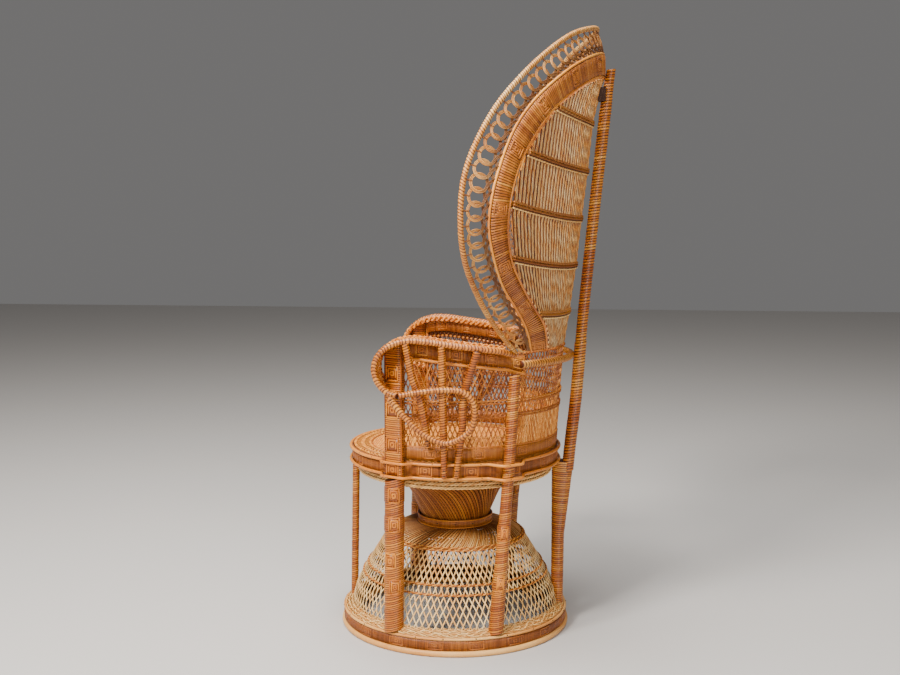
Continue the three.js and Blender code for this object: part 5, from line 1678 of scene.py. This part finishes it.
# one loop of the lace, starting and ending at the band: along the rim, in from it, and lift;
# its two feet are given in halves of its length and shares of its reach
def laceLoop(width):
    form = laceForm
    half, reach = form["alongHalf"], form["acrossShare"] * width
    top = fanForm["pole"] / 2 + form["gap"] + form["canes"] * form["cane"] / 2
    centre, foot = top + reach, width - fanForm["cane"] / 2
    low = centre + reach
    phi = np.radians(form["ringDegrees"])
    ring = np.stack([half * np.sin(phi), centre + reach * np.cos(phi),
                     form["lift"] * np.sin(phi)], 1)
    start = [[-0.78 * half, foot, -1.6 * mm], [-0.42 * half, low + 0.45 * (foot - low), 0],
             [0.06 * half, low - 0.04 * reach, 1.3 * mm]]
    end = np.array(start[::-1]) * [-1, 1, -1]
    return smoothCurve(np.vstack([start, ring, end]), 64, steps=8), top


# doubled and crossed loops that overlap their neighbours, each tied to the pole
def makeLace():
    form = laceForm
    total = arcLengths((rimLine + laceFootLine) / 2)[-1]
    count = round(total / form["pitch"])
    widths = np.linalg.norm(laceFootLine - rimLine, axis=1)
    share = np.linspace(0, 1, len(rimLine))
    parts, ties = [], []
    for i in range(count):
        u = (i + 0.5) / count
        width = np.interp(u, share, widths)
        loop, top = laceLoop(width)
        flat, lift = loop[:, :2], loop[:, 2]
        tangent = unit(np.gradient(flat, axis=0))
        beside = np.stack([tangent[:, 1], -tangent[:, 0]], 1)
        bandShade = np.interp(flat[:, 1] / width, *form["bandShade"])
        shade = np.clip(edgeShade(6, 0.9) + bandShade[None, :, None], 0, 1)
        tone = dice.uniform(*form["tones"])
        for k in range(form["canes"]):
            offset = (k - (form["canes"] - 1) / 2) * form["cane"] * form["caneStep"]
            shifted = flat + beside * offset
            us, vs = u + shifted[:, 0] / total, shifted[:, 1] / width
            parts.append(sweep(laceSurface(us, vs, lift), form["cane"],
                               normals=standing(laceSurface, us, vs)[None], sides=6,
                               tone=tone + dice.uniform(*form["caneTones"]), shade=shade))
        v = np.linspace(fanForm["pole"] / 2 - form["tieTuck"], top + form["cane"],
                        form["tieSteps"]) / width
        ripple = 1 + form["tieRipple"] * np.cos(np.arange(form["tieSteps"]) * math.pi)
        ties.append(sweep(laceSurface(u + 0 * v, v, 0.0), form["tie"] * ripple[None], sides=8,
                          tone=0.0, shade=0.75))
    makePiece("rim_lace_loops", parts + ties, "cane", ["rim_lace"])


rimBandForm = {
    "half": 2.2 * mm, "inset": 0.075, "stripStep": 6.2 * mm, "stripShare": 0.92,
    "strip": 3.0 * mm, "out": 0.2 * mm, "slant": 0.0012, "bow": 0.5 * mm, "tones": (0.3, 1.0),
    "patches": (0.012, 0.162, 0.311, 0.461, 0.607, 0.757, 0.908, 1.06),  # metres from the foot
    "patchHalf": (16 * mm, 0.34), "patchStrip": 3.9 * mm, "patchOut": 1.9 * mm,
    "patchThickness": 2.0 * mm, "patchTones": (0.4, 0.85), "patchGround": 0.65,
    "nails": (0.4625, 0.5375), "nailInward": 0.3, "nailOut": 3.8 * mm, "nail": 2.3 * mm,
}


def makeRimBand():
    form, inset = rimBandForm, rimBandForm["inset"]
    total = arcLengths((bandOuterLine + bandInnerLine) / 2)[-1]
    count = round(total / form["stripStep"])
    us = (np.arange(count) + 0.5) / count
    parts = [skin(rimBandSurface, np.linspace(0.001, 0.999, 420), [inset, 1 - inset],
                  -form["half"], form["half"], tone=0.15, shade=0.75)]
    for side in (1, -1):
        parts += rimBandFace(side, us, total)
    makePiece("rim_band_strips", parts, "band", ["rim_band"])
    for u in form["nails"]:
        for side in (1, -1):
            place, above = (rimBandSurface(np.array(u), np.array(form["nailInward"]),
                                           np.array(side * out))
                            for out in (form["nailOut"], 8 * mm))
            nailHeads.append(nail(place, above - place, radius=form["nail"]))


def rimBandFace(side, us, total):
    form, inset = rimBandForm, rimBandForm["inset"]

    def face(u, v, out):
        return rimBandSurface(u, v, side * (out + form["half"]))
    made = [strips(face, us, inset, 1 - inset, form["stripStep"] * form["stripShare"],
                   form["strip"], form["out"], slant=form["slant"], steps=4,
                   tones=form["tones"], sides=8, shade=edgeShade(8, 1.0), bow=form["bow"])]
    widthHalf, heightHalf = form["patchHalf"]
    for place in form["patches"]:
        for u in (place / total, 1 - place / total):
            made += keyPatch(face, u, 0.5, widthHalf / total, heightHalf,
                             width=form["patchStrip"], out=form["patchOut"],
                             thickness=form["patchThickness"], tones=form["patchTones"],
                             dark=form["patchGround"])
    return made


# the woven back

backForm = {
    "canes": 57, "cane": 3.1 * mm, "spread": 1.1 * mm, "twist": 0.052,
    # a light strand painted as the highlight and a darker one in each pair; the canes near the
    # middle take painted shade
    "tones": ((0.9, 1.3), (0.35, 0.8)), "middleShade": 0.5, "middleShadeShare": 0.35,
    # the dark canes in the gaps stand in for the shade seen between the light ones
    "darkCane": 3.9 * mm, "darkTones": (-0.3, 0.2), "darkShade": 0.6, "footReach": 0.30,
    "rowsApart": 2.6,  # steps up the edge between two points of a cane
    "stepAlong": 3.4 * mm, "leastPoints": 24, "ropeSpread": 0.45,
    "sag": 0.13, "curve": 1.4, "columns": 81, "beside": 2.6 * mm,
    "rows": (0.718, 0.824, 0.942, 1.059, 1.177, 1.295), "rowOut": 3.6 * mm,
    "rowStep": 2.6 * mm,
}
# each row is a wide brown rope, a dark line under it that stands in for the shadow the rope
# casts, and a thin light cane under that:
# how far down, the strands' heights, their width and pitch, their tones and their shade
rowStrands = [
    (0.0, (-2.9 * mm, 2.9 * mm), 3.6 * mm, 0.021, (0.3, 0.9), 0.6),
    (6.6 * mm, (0.0,), 2.4 * mm, 0.012, (-0.2, 0.0), 0.8),
    (10.0 * mm, (0.0,), 2.2 * mm, 0.028, (1.0, 1.3), 0.0),
]


def middleOfBack(height):
    back, up = np.asarray(spineLineShares).T
    return np.interp(height, fanForm["foot"] + fanForm["height"] * up,
                     chairY + fanForm["front"] + fanForm["depth"] * back)


# a row of points from side to side for every step up the left edge; each row sags a little
def backRows(edge):
    sag = backForm["sag"] * np.maximum(0, edge[:, 0] - edge[0, 0])
    shares = np.linspace(-1, 1, backForm["columns"])
    height = edge[:, 2, None] - sag[:, None] * (1 - shares[None] ** 2)
    middle = middleOfBack(height)
    place = middle + (edge[:, 1, None] - middle) * np.abs(shares[None]) ** backForm["curve"]
    return np.stack([edge[:, 0, None] * shares[None], place, height], -1)


halfway = len(bandInnerLine) // 2
backEdge = (bandInnerLine + unit(bandInnerLine - bandOuterLine)
            * (fanForm["cane"] / 2 + backForm["beside"]))[:halfway]
backGrid = backRows(backEdge)
backSteps = np.arange(halfway)


def backHalf(row):
    return np.interp(row, backSteps, backEdge[:, 0])


# the row counts steps up the edge, in parts too, and x is metres across
def backSurface(row, x, out):
    row, x, out = np.broadcast_arrays(row, x, out)
    low = np.clip(np.floor(row).astype(int), 0, halfway - 2)
    mix = np.clip(row - low, 0, 1)[..., None]
    last = backForm["columns"] - 1
    column = (np.clip(x / backHalf(row), -1, 1) + 1) / 2 * last
    left = np.clip(np.floor(column).astype(int), 0, last - 1)
    part = (column - left)[..., None]
    corners = [backGrid[low + a, left + b] for a in (0, 1) for b in (0, 1)]
    lower = corners[0] * (1 - part) + corners[1] * part
    upper = corners[2] * (1 - part) + corners[3] * part
    point = lower * (1 - mix) + upper * mix
    point[..., 1] -= out
    return point


# light twisted canes, each pair a lighter strand painted as the highlight and a darker one, with
# a plain dark cane in each gap between them painted as the shade seen there
def makeBack():
    form, forward = backForm, np.array([0, -1.0, 0])
    widest = int(np.argmax(backEdge[:, 0]))
    climb = np.clip(backSteps / widest, 0, 1)
    # the canes fan out only a little, so those at the sides end on the band
    reach = form["footReach"] + (backEdge[widest, 0] - form["footReach"]) * climb

    def upright(share):
        rows = np.arange(0, halfway - 1, form["rowsApart"])
        x = share * np.interp(rows, backSteps, reach)
        inside = np.abs(x) < backHalf(rows) - 0.5 * mm
        line = backSurface(rows[inside], x[inside], 0.0)
        points = int(arcLengths(line)[-1] / form["stepAlong"])
        return resample(line, max(form["leastPoints"], points))
    light, dark = [], []
    for number, share in enumerate(np.linspace(-1, 1, 2 * form["canes"] - 1)[1:-1]):
        line = upright(share)
        if number % 2 == 0:
            dark.append(sweep(line, form["darkCane"], normals=forward, sides=6,
                              tone=dice.uniform(*form["darkTones"]),
                              shade=form["darkShade"]))
            continue
        lines = twisted(line, forward + 0 * line, 2, form["spread"], form["twist"],
                        start=dice.uniform(0, fullTurn))
        # the canes near the middle are painted darker, as the shade that falls there
        browner = form["middleShade"] * max(0, 1 - abs(share) / form["middleShadeShare"])
        for strand, tones in zip(lines, form["tones"]):
            light.append(sweep(strand, form["cane"], normals=forward, sides=6,
                               tone=dice.uniform(*tones) - browner, shade=edgeShade(6, 0.8)))
    makePiece("back_canes", light, "paleWrap", ["back_weave"])
    makePiece("back_shadow_canes", dark, "weave", [])


# rows of twining on both faces
def makeBackRows():
    form, upward = backForm, np.array([0, 0, 1.0])
    heights = backGrid[:, form["columns"] // 2, 2]
    ropes = []
    for level in form["rows"]:
        for drop, rises, width, pitch, tones, shade in rowStrands:
            row = np.interp(level - drop, heights, backSteps)
            if row <= 0:
                continue
            half = backHalf(row)
            x = np.linspace(-half, half, int(half * 2 / form["rowStep"]))
            for out in (form["rowOut"], -form["rowOut"]):
                for rise in rises:
                    line = backSurface(row + 0 * x, x, out) + [0, 0, rise]
                    lines = twisted(line, upward + 0 * line, 2, form["ropeSpread"] * width,
                                    pitch if rise <= 0 else -pitch)
                    ropes.append(sweep(lines, width, normals=[0, -1.0, 0], sides=6,
                                       tone=someTones(2, *tones), shade=backShade(6, shade)))
    makePiece("back_twining", ropes, "weave", [])


# spine and belt

# the rear leg's front edge, and the back edge of the leg and the spine wound together
rearForm = {
    "thickness": 0.031, "square": 0.85, "lean": 0.06, "drift": 0.28,
    "heights": [0.0500, 0.235, 0.4303], "front": [0.2545, 0.2538, 0.2529],
    "back": [0.2855, 0.2872, 0.3100],
}
spineWraps = {
    "pitch": 7.2 * mm, "tones": (0.3, 0.85), "drift": 0.3, "belowLeg": 0.03,
    "shares": [0, 0.33, 0.332, 0.9, 1],
    "thicknesses": [0.031, 0.031, 0.028, spineForm["thickness"], spineForm["tip"]],
}
beltForm = {
    "thickness": 0.018, "drop": 0.031, "endDegrees": 40, "endGap": 3.3 * mm, "pitch": 7.6 * mm,
    "lean": 0.15, "tones": (0.45, 0.95), "sink": 0.8,  # of its radius, from the spine's front
}


def rearWraps():
    form = rearForm
    heights = np.linspace(form["heights"][0], form["heights"][-1], 80)
    front, back = (np.interp(heights, form["heights"], form[key]) for key in ("front", "back"))
    line = np.column_stack([0 * heights, chairY + (front + back) / 2, heights])
    share = arcLengths(line) / arcLengths(line)[-1]

    def depth(places):
        return np.interp(places, share, back - front)
    return wrapped(line, form["thickness"], depth=depth, normals=[0, 1.0, 0], sides=20,
                   square=form["square"], lean=form["lean"], drift=form["drift"])


def makeSpine():
    form = spineWraps
    line = spineLine()
    line = line[line[:, 2] > legForm["top"] - form["belowLeg"]]

    def thickness(share):
        return np.interp(share, form["shares"], form["thicknesses"])
    spine = wrapped(line, thickness, form["pitch"], sides=16, tones=form["tones"],
                    drift=form["drift"])
    makePiece("spine_wraps", [spine, rearWraps()], "wrap", ["spine_pole", "rear_leg"])
    makeBelt(line)


# the belt runs round the back of the wall from arm to arm and touches the spine's front
def makeBelt(spine):
    form = beltForm
    height = wallForm["low"] + wallForm["height"] - form["drop"]
    front = np.interp(height, spine[:, 2], spine[:, 1]) - spineForm["thickness"] / 2
    radius = form["thickness"] / 2
    endOut = form["endGap"] + radius / 2
    wallBack = wallSurface(np.array(math.pi / 2), np.array(height), np.array(0.0))[1]
    backOut = front - radius * form["sink"] - wallBack
    share = np.linspace(1, -1, 120)
    out = backOut + (endOut - backOut) * share ** 2
    turns = math.pi / 2 - (math.pi / 2 - math.radians(form["endDegrees"])) * share
    belt = wrapped(wallSurface(turns, height + 0 * turns, out), form["thickness"],
                   form["pitch"], form["lean"], tones=form["tones"])
    makePiece("belt_wraps", [belt], "honey", ["belt_hoop"])


makeBase()
makeBaseBraid()
print("base made")
makeSkirt()
makeWaist()
makeCone()
print("skirt, waist and cone made")
makeSeat()
makeDeck()
makeDeckBorder()
print("seat made")
makeLegs()
makeArmPosts()
makeRearPosts()
print("legs and posts made")
makeWall()
makeWallBand()
print("wall made")
makeArmPoles()
makeStruts()
makeArmTops()
makeArmBraids()
makeArmBands()
print("arms made")
makeRim()
makeLace()
makeRimBand()
makeBack()
makeBackRows()
print("fan made")
makeSpine()
makePiece("nail_heads", nailHeads, "nail", [])
print("spine, belt and nails made")

# the hidden wood keeps its solids and takes a timber finish
for name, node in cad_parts.items():
    if not node.hide_render:
        node.data.materials.clear()
        node.data.materials.append(paints["timber"])
